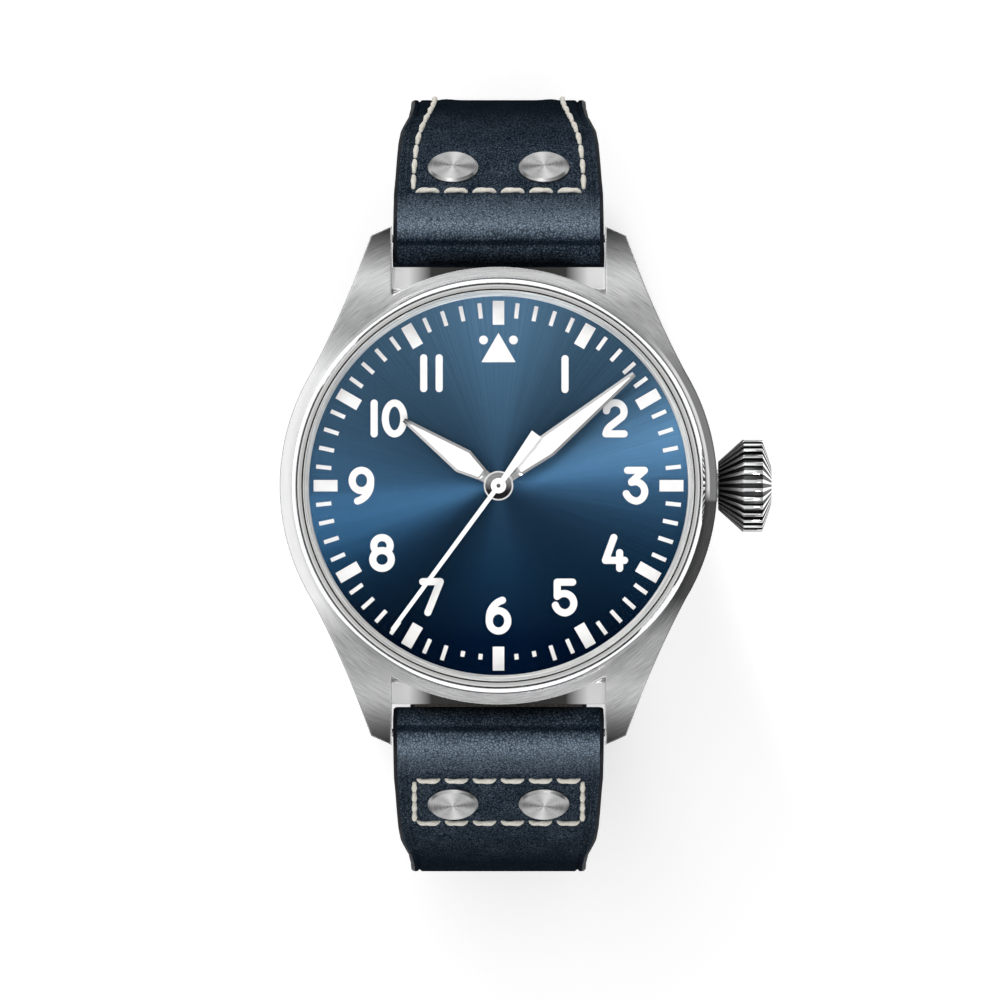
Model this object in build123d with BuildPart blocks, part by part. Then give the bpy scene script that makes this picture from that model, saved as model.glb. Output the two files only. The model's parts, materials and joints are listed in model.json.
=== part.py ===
from build123d import *
import os
from math import acos, atan2, cos, degrees, pi, radians, sin, sqrt

os.makedirs("parts", exist_ok=True)

# Pilot watch on a riveted leather strap, standing on the flat bottom of its closed strap loop.
# Millimetres. +Z is the way the dial faces, +Y points to twelve o'clock, +X to the crown.
# The origin is on the dial's axis, in the plane that the strap rests on.

# Driving dimensions

# Case
case_radius = 21.5
back_ring_height = 1.6
middle_height = 8.2
bezel_height = 1.8
glass_rise = 2.0
land_inset = 1.0
dial_ledge_width = 1.6
back_thread_depth = 0.4
back_ring_flange_width = 1.6
back_ring_bevel = 0.5
fit_gap = 0.05
overrun = 1.0
side_drop = 27.0

# Lugs
lug_side_gap = 0.25
lug_tip_reach = 4.05
lug_shoulder_reach = 3.1
lug_shoulder_width = 2.1
lug_waist_hollow = 0.34
lug_waist_share = 0.535
lug_root_share = 0.52
lug_slope_inset = 4.5
lug_tip_drop = 4.0
lug_foot_drop = 0.8
lug_foot_reach = 1.1
lug_foot_inset = 1.3
lug_toe_rise = 1.5
end_wall_bevel_drop = 2.1
end_wall_top_gap = 1.2

# Spring bars
bar_reach = 2.85
bar_height = 3.4
bar_tube_radius = 0.75
bar_tube_inset = 2.1
bar_pin_radius = 0.4
bar_pin_reach = 1.1
bar_pin_engagement = 2.8
bar_collar_radius = 0.6
bar_collar_length = 0.3
bar_collar_gap = 0.45

# Case back and its window
back_lip_height = 0.5
back_window_radius = 14.4
back_glass_radius = 14.85
back_glass_thickness = 1.0
back_thread_height = 1.4
back_gasket_width = 0.5
back_gasket_height = 0.4
back_notch_width = 2.2
back_notch_depth = 0.8
back_notch_count = 6

# Glass, flange ring and dial
bezel_wall_width = 1.1
glass_ledge_width = 0.15
glass_gasket_thickness = 0.25
glass_foot_width = 0.5
glass_rim_height = 1.35
glass_inner_rise = 1.0
glass_thickness = 1.8
bezel_crown_width = 0.3
bezel_bulge_across_share = 0.45
bezel_bulge_drop_share = 0.4
dial_side_gap = 0.2
dial_thickness = 0.4
dial_sink = 1.2
dial_hole_radius = 1.15
flange_side_gap = 0.08
flange_width = 0.52
flange_height = 1.7
flange_step_count = 4
flange_tread_share = 0.7
paint_thickness = 0.08
marker_thickness = 0.12

# Dial markings
marker_inner = 15.8
marker_outer = 18.15
marker_width = 1.13
tick_inner = 16.5
tick_outer = 18.0
tick_width = 0.4
short_tick_inner = 16.6
short_tick_outer = 17.15
triangle_apex_y = 15.0
triangle_base_y = 12.12
triangle_width = 3.36
dot_radius = 0.43
dot_x = 1.47
dot_y = 14.3
numeral_height = 3.72
numeral_width = 2.52
numeral_stroke = 0.7
numeral_circle = 13.2
numeral_circle_side = 13.45
numeral_circle_low = 12.75
ten_bar_x = -12.2
ten_zero_x = -10.2
eleven_bar_x = -7.34
eleven_pitch = 1.52

# Hands
hour_hand_angle = 304.8
minute_hand_angle = 50.5
seconds_hand_angle = 216.4
hour_hand_length = 11.3
hour_hand_width = 2.5
hour_hand_wide_at = 4.2
hour_hand_tip = 0.4
hour_hub_radius = 1.45
minute_hand_length = 17.25
minute_hand_width = 2.3
minute_hand_wide_at = 6.1
minute_hand_tip = 0.55
minute_hub_radius = 1.3
hand_root_width = 1.0
hand_thickness = 0.26
hand_edge_height = 0.1
hand_ridge_width = 0.04
hand_border = 0.27
hand_root_step = 0.07
lume_proud = 0.02
lume_end_width = 0.1
hour_lume_start = 2.1
minute_lume_start = 2.57
hand_gap = 0.3
hour_hand_gap = 0.5
seconds_hand_length = 17.6
seconds_hand_width = 0.45
seconds_tip_width = 0.4
seconds_thickness = 0.15
seconds_hub_radius = 0.75
seconds_tail_start = 0.6
seconds_tail_length = 6.3
seconds_tail_root_width = 0.5
seconds_tail_width = 1.17

# Crown
crown_height = 5.8
crown_face_gap = 0.1
crown_root_radius = 2.4
crown_radius = 4.62
crown_cone_length = 2.48
crown_band_length = 1.92
crown_cap_length = 0.87
crown_cap_radius = 1.8
crown_flutes = 32
crown_flute_depth = 0.36
crown_flute_share = 0.42
tube_radius = 1.6
tube_bore_radius = 1.25
tube_stand_out = 2.7
crown_bore_depth = 3.1
crown_post_radius = 0.9
crown_post_length = 2.5
seal_length = 0.6
stem_radius = 0.5
stem_end_x = 11.0

# Movement
movement_radius = 15.0
movement_wall = 0.6
rotor_gap = 0.4
rotor_radius = 14.5
rotor_rim_width = 3.2
rotor_rim_height = 1.2
rotor_plate_thickness = 0.4
rotor_hub_radius = 2.6
rotor_arm_width = 3.0
rotor_bearing_radius = 1.5
layer_gap = 0.2
automatic_bridge_thickness = 0.6
automatic_bridge_width = 5.0
automatic_bridge_foot_radius = 1.6
winding_wheel_thickness = 0.25
bridge_thickness = 0.6
train_height = 1.7
plate_thickness = 0.9
plate_rim_width = 1.5
sheet_thickness = 0.2
close_gap = 0.05
bridge_split = 0.2
screw_head_radius = 0.85
screw_head_height = 0.3
screw_shank_radius = 0.4
screw_length = 1.4
screw_slot_width = 0.22
screw_slot_depth = 0.14
jewel_radius = 0.6
jewel_hole_radius = 0.16
pivot_radius = 0.12
arbor_radius = 0.2
stem_boss_length = 3.0
stem_boss_half_width = 1.2

barrel_bridge_screw_angles = (12, 90, 150)
train_bridge_screw_angles = (176, 270, 352)
cock_screw_angles = (197, 249)
cock_half_angle = 30.0
automatic_angle = 170.0
automatic_reach_share = 0.7
bridge_split_up_share = 0.31
bridge_step_share = 0.13
bridge_stem_share = 0.1
bridge_foot_share = 0.21
rotor_arm_count = 3
rotor_arm_spread = 120.0
spoke_count = 4

# Levels of the wheels, as shares of the train's height
fourth_wheel_share = 0.17
fourth_pinion_share = 0.4
third_wheel_share = 0.52
great_wheel_share = 0.76
escape_wheel_share = 0.5
balance_share = 0.23
roller_share = 0.7

# Levels under the dial, as shares of the height there
minute_wheel_share = 0.2
cannon_pinion_share = 0.36
hour_wheel_share = 0.62
hour_wheel_thick_share = 0.24

# Going train, by its modules and places
barrel_teeth = 80
barrel_module = 0.125
barrel_distance = 9.1
barrel_angle = 55.0
barrel_drum_height = 1.1
barrel_flange_height = 0.25
barrel_arbor_radius = 0.8
great_pinion_teeth = 12
great_teeth = 80
great_module = 0.11
great_from_barrel_angle = 185.0
third_pinion_teeth = 10
third_teeth = 75
third_module = 0.09
fourth_pinion_teeth = 10
fourth_teeth = 80
fourth_module = 0.085
escape_pinion_teeth = 8
escape_pinion_overlap = 0.1
escape_angle = 250.0
escape_teeth = 20
escape_radius = 2.0
escape_root_radius = 1.5
escape_tip_half_angle = 1.0
escape_front_angle = 4.0
escape_back_angle = 6.0
ratchet_teeth = 40
crown_wheel_teeth = 26
winding_module = 0.17
crown_wheel_angle = -35.0
cannon_teeth = 12
minute_wheel_teeth = 36
cannon_module = 0.13
minute_pinion_teeth = 10
hour_wheel_teeth = 40
minute_wheel_angle = 300.0
cannon_bore_radius = 0.26
cannon_tube_radius = 0.5
hour_tube_radius = 0.95
balance_radius = 3.7
balance_rim_width = 0.55
balance_rim_height = 0.4
balance_side_gap = 0.6
balance_x = -7.4
balance_y = -6.9
balance_arm_width = 0.5
balance_arms = 3
balance_hub_radius = 0.8
roller_radius = 1.0
roller_thickness = 0.15
pallet_lever_length = 2.7
pallet_arm_width = 0.35
pallet_stone_width = 0.25
pallet_span_angle = 45.0
pallet_stone_gap = 0.12
pallet_hub_radius = 0.45
pallet_bridge_width = 0.8
pallet_bridge_thickness = 0.3
pallet_foot_reach = 2.3
small_jewel_radius = 0.28
impulse_pin_radius = 0.1
impulse_pin_place = 0.8
hairspring_wire = 0.1
hairspring_height = 0.2
hairspring_inner = 0.75
hairspring_pitch = 0.21
hairspring_half_turns = 12
mainspring_leaf = 0.12
mainspring_pitch = 0.25
mainspring_half_turns = 12
drum_wall = 0.3
drum_lid = 0.2
tooth_tip_share = 0.75
tooth_root_share = 1.1
tooth_tip_half_share = 0.1
tooth_root_half_share = 0.25

# Strap
strap_width = 20.5
strap_narrow_width = 18.0
strap_pad_thickness = 5.0
strap_thickness = 2.8
strap_roll_radius = 2.55
side_radius = 36.6
side_lean = 14.13
corner_radius = 22.0
buckle_corner_radius = 14.4
buckle_end_tilt = 15.0
buckle_run = 17.0
tail_flat_end_y = 33.5
tail_tip_length = 8.0
tail_tip_width = 7.0
shoulder_high_tilt = 65.0
shoulder_low_tilt = 86.0
hole_radius = 1.0
hole_pitch = 6.5
hole_count = 6
hole_last_y = 22.25
soft_gap = 0.3
strap_bar_clearance = 0.1
strap_mid_thickness_share = 0.72

# Rivets
rivet_radius = 2.5
rivet_height = 0.5
rivet_bevel = 0.25
rivet_bevel_angle = 45.0
rivet_seat = 0.1
rivet_x = 4.5
rivet_tilt = 53.4
rivet_shank_radius = 0.8
rivet_shank_length = 2.0

# Buckle and keepers
buckle_bar_radius = 0.7
buckle_frame_length = 12.5
buckle_frame_back = 1.9
buckle_frame_thickness = 2.0
buckle_arm_width = 2.2
buckle_front_width = 2.2
buckle_side_gap = 0.3
buckle_corner = 2.4
buckle_edge_bevel = 0.4
buckle_pin_engagement = 1.4
tang_width = 2.2
tang_thickness = 1.1
tang_reach = 1.4
tang_slot_gap = 0.3
tang_slot_length = 4.5
tang_barrel_radius = 1.25
tang_tip_width = 1.2
keeper_wall = 1.3
keeper_length = 5.0
keeper_gap = 0.3
keeper_corner = 1.2
tail_room_gap = 0.1
fixed_keeper_from_bar = 4.6
free_keeper_tilt = 5.0

# Places and heights that follow from the sizes above

land_radius = case_radius - land_inset
bezel_radius = land_radius - fit_gap
glass_radius = bezel_radius - bezel_wall_width
dial_bore_radius = glass_radius - glass_ledge_width
dial_radius = dial_bore_radius - dial_side_gap
flange_top_radius = dial_bore_radius - flange_side_gap
flange_foot_radius = flange_top_radius - flange_width
movement_bore_radius = dial_bore_radius - dial_ledge_width
back_thread_radius = movement_bore_radius + back_thread_depth
back_ring_radius = back_thread_radius + back_ring_flange_width
lug_gap = strap_width + 2 * lug_side_gap
lug_tip_y = case_radius + lug_tip_reach
lug_shoulder_y = case_radius + lug_shoulder_reach
lug_shoulder_x = lug_gap / 2 + lug_shoulder_width
lug_root_y = case_radius * lug_root_share
lug_slope_start_y = case_radius - lug_slope_inset
lug_foot_y = case_radius + lug_foot_reach
lug_foot_start_y = case_radius - lug_foot_inset
bar_y = case_radius + bar_reach
bar_tube_half_length = lug_gap / 2 - bar_tube_inset
bar_z = corner_radius + side_drop
back_low = bar_z - bar_height
middle_low = back_low + back_ring_height
middle_top = middle_low + middle_height
bezel_top = middle_top + bezel_height
glass_top = bezel_top + glass_rise
dial_top = middle_top - dial_sink
dial_low = dial_top - dial_thickness
back_glass_low = back_low + back_lip_height
back_glass_top = back_glass_low + back_glass_thickness
rotor_low = back_glass_top + rotor_gap
rotor_top = rotor_low + rotor_rim_height
automatic_low = rotor_top + layer_gap
automatic_top = automatic_low + automatic_bridge_thickness
winding_low = automatic_top + 2 * close_gap
winding_top = winding_low + winding_wheel_thickness
bridge_low = winding_top + close_gap
bridge_top = bridge_low + bridge_thickness
train_low = bridge_top
plate_low = train_low + train_height
plate_top = plate_low + plate_thickness
crown_z = back_low + crown_height
flange_top = dial_top + flange_height
glass_seat = flange_top + fit_gap
hour_hand_low = dial_top + hour_hand_gap
minute_hand_low = hour_hand_low + hand_thickness + hand_gap
seconds_hand_low = minute_hand_low + hand_thickness + hand_gap

fourth_wheel_low = train_low + fourth_wheel_share * train_height
fourth_pinion_low = train_low + fourth_pinion_share * train_height
third_wheel_low = train_low + third_wheel_share * train_height
great_wheel_low = train_low + great_wheel_share * train_height
escape_wheel_low = train_low + escape_wheel_share * train_height
balance_low = train_low + balance_share * train_height
roller_low = train_low + roller_share * train_height

# Shapes that several pieces use


def clock(angle, radius):
    """The point at this clock angle and distance from the dial's axis."""
    return Vector(radius * sin(radians(angle)), radius * cos(radians(angle)))


def polar(angle, radius):
    """The point at this angle from +X and distance from the dial's axis."""
    return Vector(radius * cos(radians(angle)), radius * sin(radians(angle)))


def bearing(start, end):
    """The angle of the line from one arbor to another."""
    step = end - start
    return degrees(atan2(step.Y, step.X))


def gap_phase(teeth, angle):
    """The phase that turns a gap between two teeth to this angle."""
    return angle + 180 / teeth


def across_hand(angle, radius, height):
    """The plane across a hand: its X runs to the hand's right and its Y up."""
    place = clock(angle, radius)
    side = clock(angle + 90, 1)
    away = clock(angle + 180, 1)
    return Plane(
        origin=(place.X, place.Y, height),
        x_dir=(side.X, side.Y, 0),
        z_dir=(away.X, away.Y, 0),
    )


def hand_plane(angle, height):
    """The plane of a hand: its Y runs along the hand."""
    side = clock(angle + 90, 1)
    return Plane(origin=(0, 0, height), x_dir=(side.X, side.Y, 0), z_dir=(0, 0, 1))


def tooth_points(teeth, module, phase):
    """Corners of a flat-sided toothed outline with a tooth at the angle phase."""
    pitch_radius = teeth * module / 2
    tip = pitch_radius + tooth_tip_share * module
    root = pitch_radius - tooth_root_share * module
    pitch = 2 * pi / teeth
    corners = [
        (root, -tooth_root_half_share),
        (tip, -tooth_tip_half_share),
        (tip, tooth_tip_half_share),
        (root, tooth_root_half_share),
    ]
    points = []
    for tooth in range(teeth):
        middle = radians(phase) + tooth * pitch
        for radius, share in corners:
            turn = middle + share * pitch
            points.append((radius * cos(turn), radius * sin(turn)))
    return points


def toothed_disc(centre, low, thickness, teeth, module, phase):
    """A toothed wheel or pinion, added to the part in hand."""
    with BuildSketch(Plane.XY.offset(low)) as outline:
        with Locations(centre):
            Polygon(tooth_points(teeth, module, phase), align=None)
    extrude(outline.sketch, amount=thickness)


def disc(centre, low, high, radius, mode=Mode.ADD):
    """A round post or hole between two heights."""
    with BuildSketch(Plane.XY.offset(low)) as outline:
        with Locations(centre):
            Circle(radius)
    extrude(outline.sketch, amount=high - low, mode=mode)


def spokes(centre, low, thickness, rim_radius, hub_radius, width, count):
    """Cut a wheel's disc down to a rim, a hub and straight spokes."""
    with BuildSketch(Plane.XY.offset(low)) as windows:
        with Locations(centre):
            Circle(rim_radius)
            Circle(hub_radius, mode=Mode.SUBTRACT)
            with PolarLocations(0, count):
                Rectangle(
                    rim_radius + fit_gap,
                    width,
                    align=(Align.MIN, Align.CENTER),
                    mode=Mode.SUBTRACT,
                )
    extrude(windows.sketch, amount=thickness, mode=Mode.SUBTRACT)


def arbor(centre, low, high):
    """A train arbor with a pivot at each end, which run in the jewels."""
    disc(centre, low, high, arbor_radius)
    disc(centre, bridge_low + close_gap, plate_top - close_gap, pivot_radius)


# Places of the movement's arbors

dial_centre = Vector(0, 0)
barrel_centre = polar(barrel_angle, barrel_distance)
barrel_to_great = (barrel_teeth + great_pinion_teeth) * barrel_module / 2
great_centre = barrel_centre + polar(great_from_barrel_angle, barrel_to_great)
great_to_third = (great_teeth + third_pinion_teeth) * great_module / 2
third_to_fourth = (third_teeth + fourth_pinion_teeth) * third_module / 2
great_reach = great_centre.length
third_along = (third_to_fourth**2 - great_to_third**2 + great_reach**2) / (2 * great_reach)
third_aside = sqrt(third_to_fourth**2 - third_along**2)
great_bearing = bearing(dial_centre, great_centre)
third_centre = polar(great_bearing, third_along) + polar(great_bearing + 90, third_aside)
fourth_to_escape = (fourth_teeth + escape_pinion_teeth) * fourth_module / 2
escape_centre = polar(escape_angle, fourth_to_escape)
balance_centre = Vector(balance_x, balance_y)
escape_to_balance = balance_centre - escape_centre
lever_angle = bearing(escape_centre, balance_centre)
pallet_centre = escape_centre + polar(lever_angle, pallet_lever_length)
ratchet_to_crown_wheel = (ratchet_teeth + crown_wheel_teeth) * winding_module / 2
crown_wheel_centre = barrel_centre + polar(crown_wheel_angle, ratchet_to_crown_wheel)
cannon_to_minute = (cannon_teeth + minute_wheel_teeth) * cannon_module / 2
minute_wheel_centre = polar(minute_wheel_angle, cannon_to_minute)
hour_module = 2 * cannon_to_minute / (minute_pinion_teeth + hour_wheel_teeth)

# Case middle with its lugs

bar_wall_y = bar_y - strap_roll_radius - soft_gap
lug_root_x = sqrt(case_radius**2 - lug_root_y**2)
lug_shoulder = Vector(lug_shoulder_x, lug_shoulder_y)
lug_root = Vector(lug_root_x, lug_root_y)
lug_chord_point = lug_shoulder + (lug_root - lug_shoulder) * lug_waist_share

with BuildSketch(Plane.XY.offset(back_low)) as lug_plan:
    with BuildLine():
        Polyline(
            lug_root,
            (lug_gap / 2, lug_root_y),
            (lug_gap / 2, lug_tip_y),
            lug_shoulder,
        )
        ThreePointArc(lug_shoulder, lug_chord_point - Vector(lug_waist_hollow, 0), lug_root)
    make_face()
    mirror(about=Plane.YZ)
    mirror(about=Plane.XZ)

with BuildPart() as case_middle:
    with BuildSketch(Plane.XY.offset(back_low)):
        Circle(case_radius)
    extrude(amount=back_ring_height + middle_height)
    extrude(lug_plan.sketch, amount=back_ring_height + middle_height)
    with BuildSketch(Plane.YZ):
        with BuildLine():
            lug_tip_z = middle_top - lug_tip_drop
            lug_foot_z = middle_low - lug_foot_drop
            lug_toe_z = lug_foot_z + lug_toe_rise
            Line((-lug_slope_start_y, middle_top), (lug_slope_start_y, middle_top))
            TangentArc((lug_slope_start_y, middle_top), (lug_tip_y, lug_tip_z), tangent=(1, 0))
            Polyline(
                (lug_tip_y, lug_tip_z),
                (lug_tip_y, lug_toe_z),
                (lug_foot_y, lug_foot_z),
                (lug_foot_start_y, middle_low),
                (-lug_foot_start_y, middle_low),
                (-lug_foot_y, lug_foot_z),
                (-lug_tip_y, lug_toe_z),
                (-lug_tip_y, lug_tip_z),
            )
            TangentArc((-lug_slope_start_y, middle_top), (-lug_tip_y, lug_tip_z), tangent=(-1, 0))
        make_face()
    extrude(amount=case_radius + overrun, both=True, mode=Mode.INTERSECT)
    # A polished wall between the lugs, straight across the strap's end
    with BuildSketch(Plane.YZ):
        with BuildLine():
            wall_top_z = middle_top - end_wall_top_gap - end_wall_bevel_drop
            Polyline(
                (-bar_wall_y, middle_low),
                (bar_wall_y, middle_low),
                (bar_wall_y, wall_top_z),
                (bar_wall_y - end_wall_bevel_drop, middle_top - end_wall_top_gap),
                (-bar_wall_y + end_wall_bevel_drop, middle_top - end_wall_top_gap),
                (-bar_wall_y, wall_top_z),
                (-bar_wall_y, middle_low),
            )
        make_face()
    extrude(amount=lug_gap / 2, both=True)
    # The raised land that the bezel sits on
    disc((0, 0), middle_low, middle_top, land_radius)
    # Bores, from the back to the dial
    disc((0, 0), middle_low, dial_low, movement_bore_radius, Mode.SUBTRACT)
    disc((0, 0), middle_low, middle_low + back_thread_height, back_thread_radius, Mode.SUBTRACT)
    disc((0, 0), dial_low, middle_top, dial_bore_radius, Mode.SUBTRACT)
    # Groove of the case-back gasket
    with BuildSketch(Plane.XY.offset(middle_low)):
        Circle(back_ring_radius - back_gasket_width)
        Circle(back_ring_radius - 2 * back_gasket_width, mode=Mode.SUBTRACT)
    extrude(amount=back_gasket_height, mode=Mode.SUBTRACT)
    # Hole for the crown tube
    with BuildSketch(Plane.YZ.offset(movement_bore_radius - overrun)):
        with Locations((0, crown_z)):
            Circle(tube_radius)
    extrude(amount=case_radius, mode=Mode.SUBTRACT)
    # Holes for the spring bars' pins, sunk into the lugs' inner faces
    for side_y in (-bar_y, bar_y):
        with BuildSketch(Plane.YZ):
            with Locations((side_y, bar_z)):
                Circle(bar_pin_radius + fit_gap)
        extrude(amount=lug_gap / 2 + bar_pin_reach + fit_gap, both=True, mode=Mode.SUBTRACT)

case_middle.part.label = "case_middle"
export_step(case_middle.part, "parts/case_middle.step")

# Bezel, glass and gasket

with BuildPart() as bezel:
    with BuildSketch(Plane.XZ):
        with BuildLine():
            bezel_bore = glass_radius + glass_gasket_thickness
            bezel_bulge_radius = bezel_radius - bezel_crown_width * bezel_bulge_across_share
            Polyline(
                (bezel_radius, middle_top),
                (dial_bore_radius, middle_top),
                (dial_bore_radius, glass_seat),
                (bezel_bore, glass_seat),
                (bezel_bore, bezel_top),
                (bezel_bore + bezel_crown_width / 2, bezel_top),
            )
            ThreePointArc(
                (bezel_bore + bezel_crown_width / 2, bezel_top),
                (bezel_bulge_radius, bezel_top - bezel_height * bezel_bulge_drop_share),
                (bezel_radius, middle_top),
            )
        make_face()
    revolve(axis=Axis.Z)

bezel.part.label = "bezel"
export_step(bezel.part, "parts/bezel.step")

glass_rim_top = glass_seat + glass_rim_height
glass_foot_radius = glass_radius - glass_foot_width
glass_under = glass_top - glass_thickness

with BuildPart() as crystal:
    with BuildSketch(Plane.XZ):
        with BuildLine():
            under_rim = glass_under - glass_inner_rise
            Polyline(
                (0, glass_under),
                (0, glass_top),
            )
            TangentArc((0, glass_top), (glass_radius, glass_rim_top), tangent=(1, 0))
            Polyline(
                (glass_radius, glass_rim_top),
                (glass_radius, glass_seat),
                (glass_foot_radius, glass_seat),
                (glass_foot_radius, under_rim),
            )
            TangentArc((0, glass_under), (glass_foot_radius, under_rim), tangent=(1, 0))
        make_face()
    revolve(axis=Axis.Z)

crystal.part.label = "crystal"
export_step(crystal.part, "parts/crystal.step")

with BuildPart() as crystal_gasket:
    with BuildSketch(Plane.XY.offset(glass_seat)):
        Circle(glass_radius + glass_gasket_thickness)
        Circle(glass_radius, mode=Mode.SUBTRACT)
    extrude(amount=glass_rim_height)

crystal_gasket.part.label = "crystal_gasket"
export_step(crystal_gasket.part, "parts/crystal_gasket.step")

# Flange ring between the dial and the glass, with fine steps turned into its slope

with BuildPart() as flange_ring:
    with BuildSketch(Plane.XZ):
        with BuildLine():
            step_out = (flange_top_radius - flange_foot_radius) / flange_step_count
            step_up = flange_height / flange_step_count
            slope = [(flange_foot_radius, dial_top)]
            for step in range(1, flange_step_count):
                rise = dial_top + step * step_up
                edge = flange_foot_radius + step * step_out
                slope.append((edge - (1 - flange_tread_share) * step_out, rise))
                slope.append((edge, rise))
            Polyline(
                *slope,
                (flange_top_radius, flange_top),
                (dial_bore_radius, flange_top),
                (dial_bore_radius, dial_top),
                (flange_foot_radius, dial_top),
            )
        make_face()
    revolve(axis=Axis.Z)

flange_ring.part.label = "flange_ring"
export_step(flange_ring.part, "parts/flange_ring.step")

# Dial and its markings

with BuildPart() as dial:
    with BuildSketch(Plane.XY.offset(dial_low)):
        Circle(dial_radius)
        Circle(dial_hole_radius, mode=Mode.SUBTRACT)
    extrude(amount=dial_thickness)

dial.part.label = "dial"
export_step(dial.part, "parts/dial.step")

with BuildPart() as hour_markers:
    with BuildSketch(Plane.XY.offset(dial_top)):
        with PolarLocations((marker_inner + marker_outer) / 2, 12):
            Rectangle(marker_outer - marker_inner, marker_width)
        Polygon(
            (0, triangle_apex_y),
            (-triangle_width / 2, triangle_base_y),
            (triangle_width / 2, triangle_base_y),
            align=None,
        )
        with Locations((-dot_x, dot_y), (dot_x, dot_y)):
            Circle(dot_radius)
    extrude(amount=marker_thickness)

hour_markers.part.label = "hour_markers"
export_step(hour_markers.part, "parts/hour_markers.step")

with BuildPart() as minute_track:
    with BuildSketch(Plane.XY.offset(dial_top)):
        for minute in range(60):
            short = minute in (28, 29, 31, 32)
            inner = short_tick_inner if short else tick_inner
            outer = short_tick_outer if short else tick_outer
            if minute % 5:
                with Locations(clock(minute * 6, (inner + outer) / 2)):
                    Rectangle(outer - inner, tick_width, rotation=90 - minute * 6)
    extrude(amount=paint_thickness)

minute_track.part.label = "minute_track"
export_step(minute_track.part, "parts/minute_track.step")

# Numerals drawn with a round-ended pen. Points are shares of the pen's half reach across and up.

pen_x = (numeral_width - numeral_stroke) / 2
pen_y = (numeral_height - numeral_stroke) / 2


def pen_point(place, share):
    """The point of a numeral at these shares of the pen's reach."""
    return Vector(place.X + share[0] * pen_x, place.Y + share[1] * pen_y)


def pen_line(place, start_share, end_share):
    """A straight stroke with round ends."""
    start = pen_point(place, start_share)
    end = pen_point(place, end_share)
    step = end - start
    with Locations((start + end) / 2):
        SlotCenterToCenter(step.length, numeral_stroke, rotation=degrees(atan2(step.Y, step.X)))


def pen_arc(place, start_share, middle_share, end_share):
    """A curved stroke with round ends, through three points."""
    with BuildLine(mode=Mode.PRIVATE) as path:
        ThreePointArc(
            pen_point(place, start_share),
            pen_point(place, middle_share),
            pen_point(place, end_share),
        )
    SlotArc(path.edge(), numeral_stroke)


def pen_ring(place, centre_share, across_share, up_share):
    """A closed oval stroke."""
    with Locations(pen_point(place, centre_share)):
        Ellipse(across_share * pen_x + numeral_stroke / 2, up_share * pen_y + numeral_stroke / 2)
        Ellipse(
            across_share * pen_x - numeral_stroke / 2,
            up_share * pen_y - numeral_stroke / 2,
            mode=Mode.SUBTRACT,
        )


def numeral(digit, place, turn=1):
    """One numeral; turn is -1 for one drawn upside down."""
    if digit == 0:
        pen_ring(place, (0, 0), 1, 1)
    if digit == 1:
        pen_line(place, (0, 1), (0, -1))
    if digit == 2:
        pen_arc(place, (-0.92, 0.5), (0.1, 1.02), (0.98, 0.42))
        pen_arc(place, (0.98, 0.42), (0.88, 0.2), (0.6, 0.02))
        pen_line(place, (0.6, 0.02), (-0.5, -0.5))
        pen_arc(place, (-0.5, -0.5), (-0.84, -0.75), (-0.98, -1))
        pen_line(place, (-0.98, -1), (0.98, -1))
    if digit == 3:
        pen_line(place, (-0.86, 1), (0.95, 1))
        pen_line(place, (0.95, 1), (-0.42, 0.26))
        pen_arc(place, (-0.42, 0.22), (0.95, -0.2), (0.12, -1))
        pen_arc(place, (0.12, -1), (-0.66, -0.8), (-1, -0.52))
    if digit == 4:
        pen_line(place, (-0.13, 1), (-1.03, -0.48))
        pen_line(place, (-1.03, -0.48), (1.03, -0.48))
        pen_line(place, (0.5, 0.02), (0.5, -1))
    if digit == 5:
        pen_line(place, (-0.8, 1), (0.86, 1))
        pen_line(place, (-0.8, 1), (-0.8, 0.08))
        pen_arc(place, (-0.8, 0.08), (0.98, -0.3), (0.02, -1))
        pen_arc(place, (0.02, -1), (-0.66, -0.82), (-1, -0.5))
    if digit == 6:
        pen_ring(place, (0, -0.34 * turn), 1, 0.66)
        pen_arc(place, (-0.98 * turn, -0.3 * turn), (-0.62 * turn, 0.55 * turn), (0.42 * turn, turn))
    if digit == 7:
        pen_line(place, (-0.95, 1), (0.93, 1))
        pen_line(place, (0.93, 1), (-0.4, -1))
    if digit == 8:
        pen_ring(place, (0, 0.48), 0.88, 0.52)
        pen_ring(place, (0, -0.42), 1, 0.58)


ten_row = clock(300, numeral_circle)
eleven_row = clock(330, numeral_circle_low)

with BuildPart() as dial_numerals:
    with BuildSketch(Plane.XY.offset(dial_top)):
        numeral(1, clock(30.8, numeral_circle_low))
        numeral(2, clock(60, numeral_circle))
        numeral(3, clock(90, numeral_circle_side))
        numeral(4, clock(120, numeral_circle))
        numeral(5, clock(149.4, numeral_circle_low))
        numeral(6, clock(180, numeral_circle_low))
        numeral(7, clock(211, numeral_circle_low))
        numeral(8, clock(240, numeral_circle))
        numeral(6, clock(270, numeral_circle_side), turn=-1)
        numeral(1, Vector(ten_bar_x, ten_row.Y))
        numeral(0, Vector(ten_zero_x, ten_row.Y))
        numeral(1, Vector(eleven_bar_x, eleven_row.Y))
        numeral(1, Vector(eleven_bar_x + eleven_pitch, eleven_row.Y))
    extrude(amount=paint_thickness)

dial_numerals.part.label = "dial_numerals"
export_step(dial_numerals.part, "parts/dial_numerals.step")

# Case back: screwed ring, window and gasket

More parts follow.
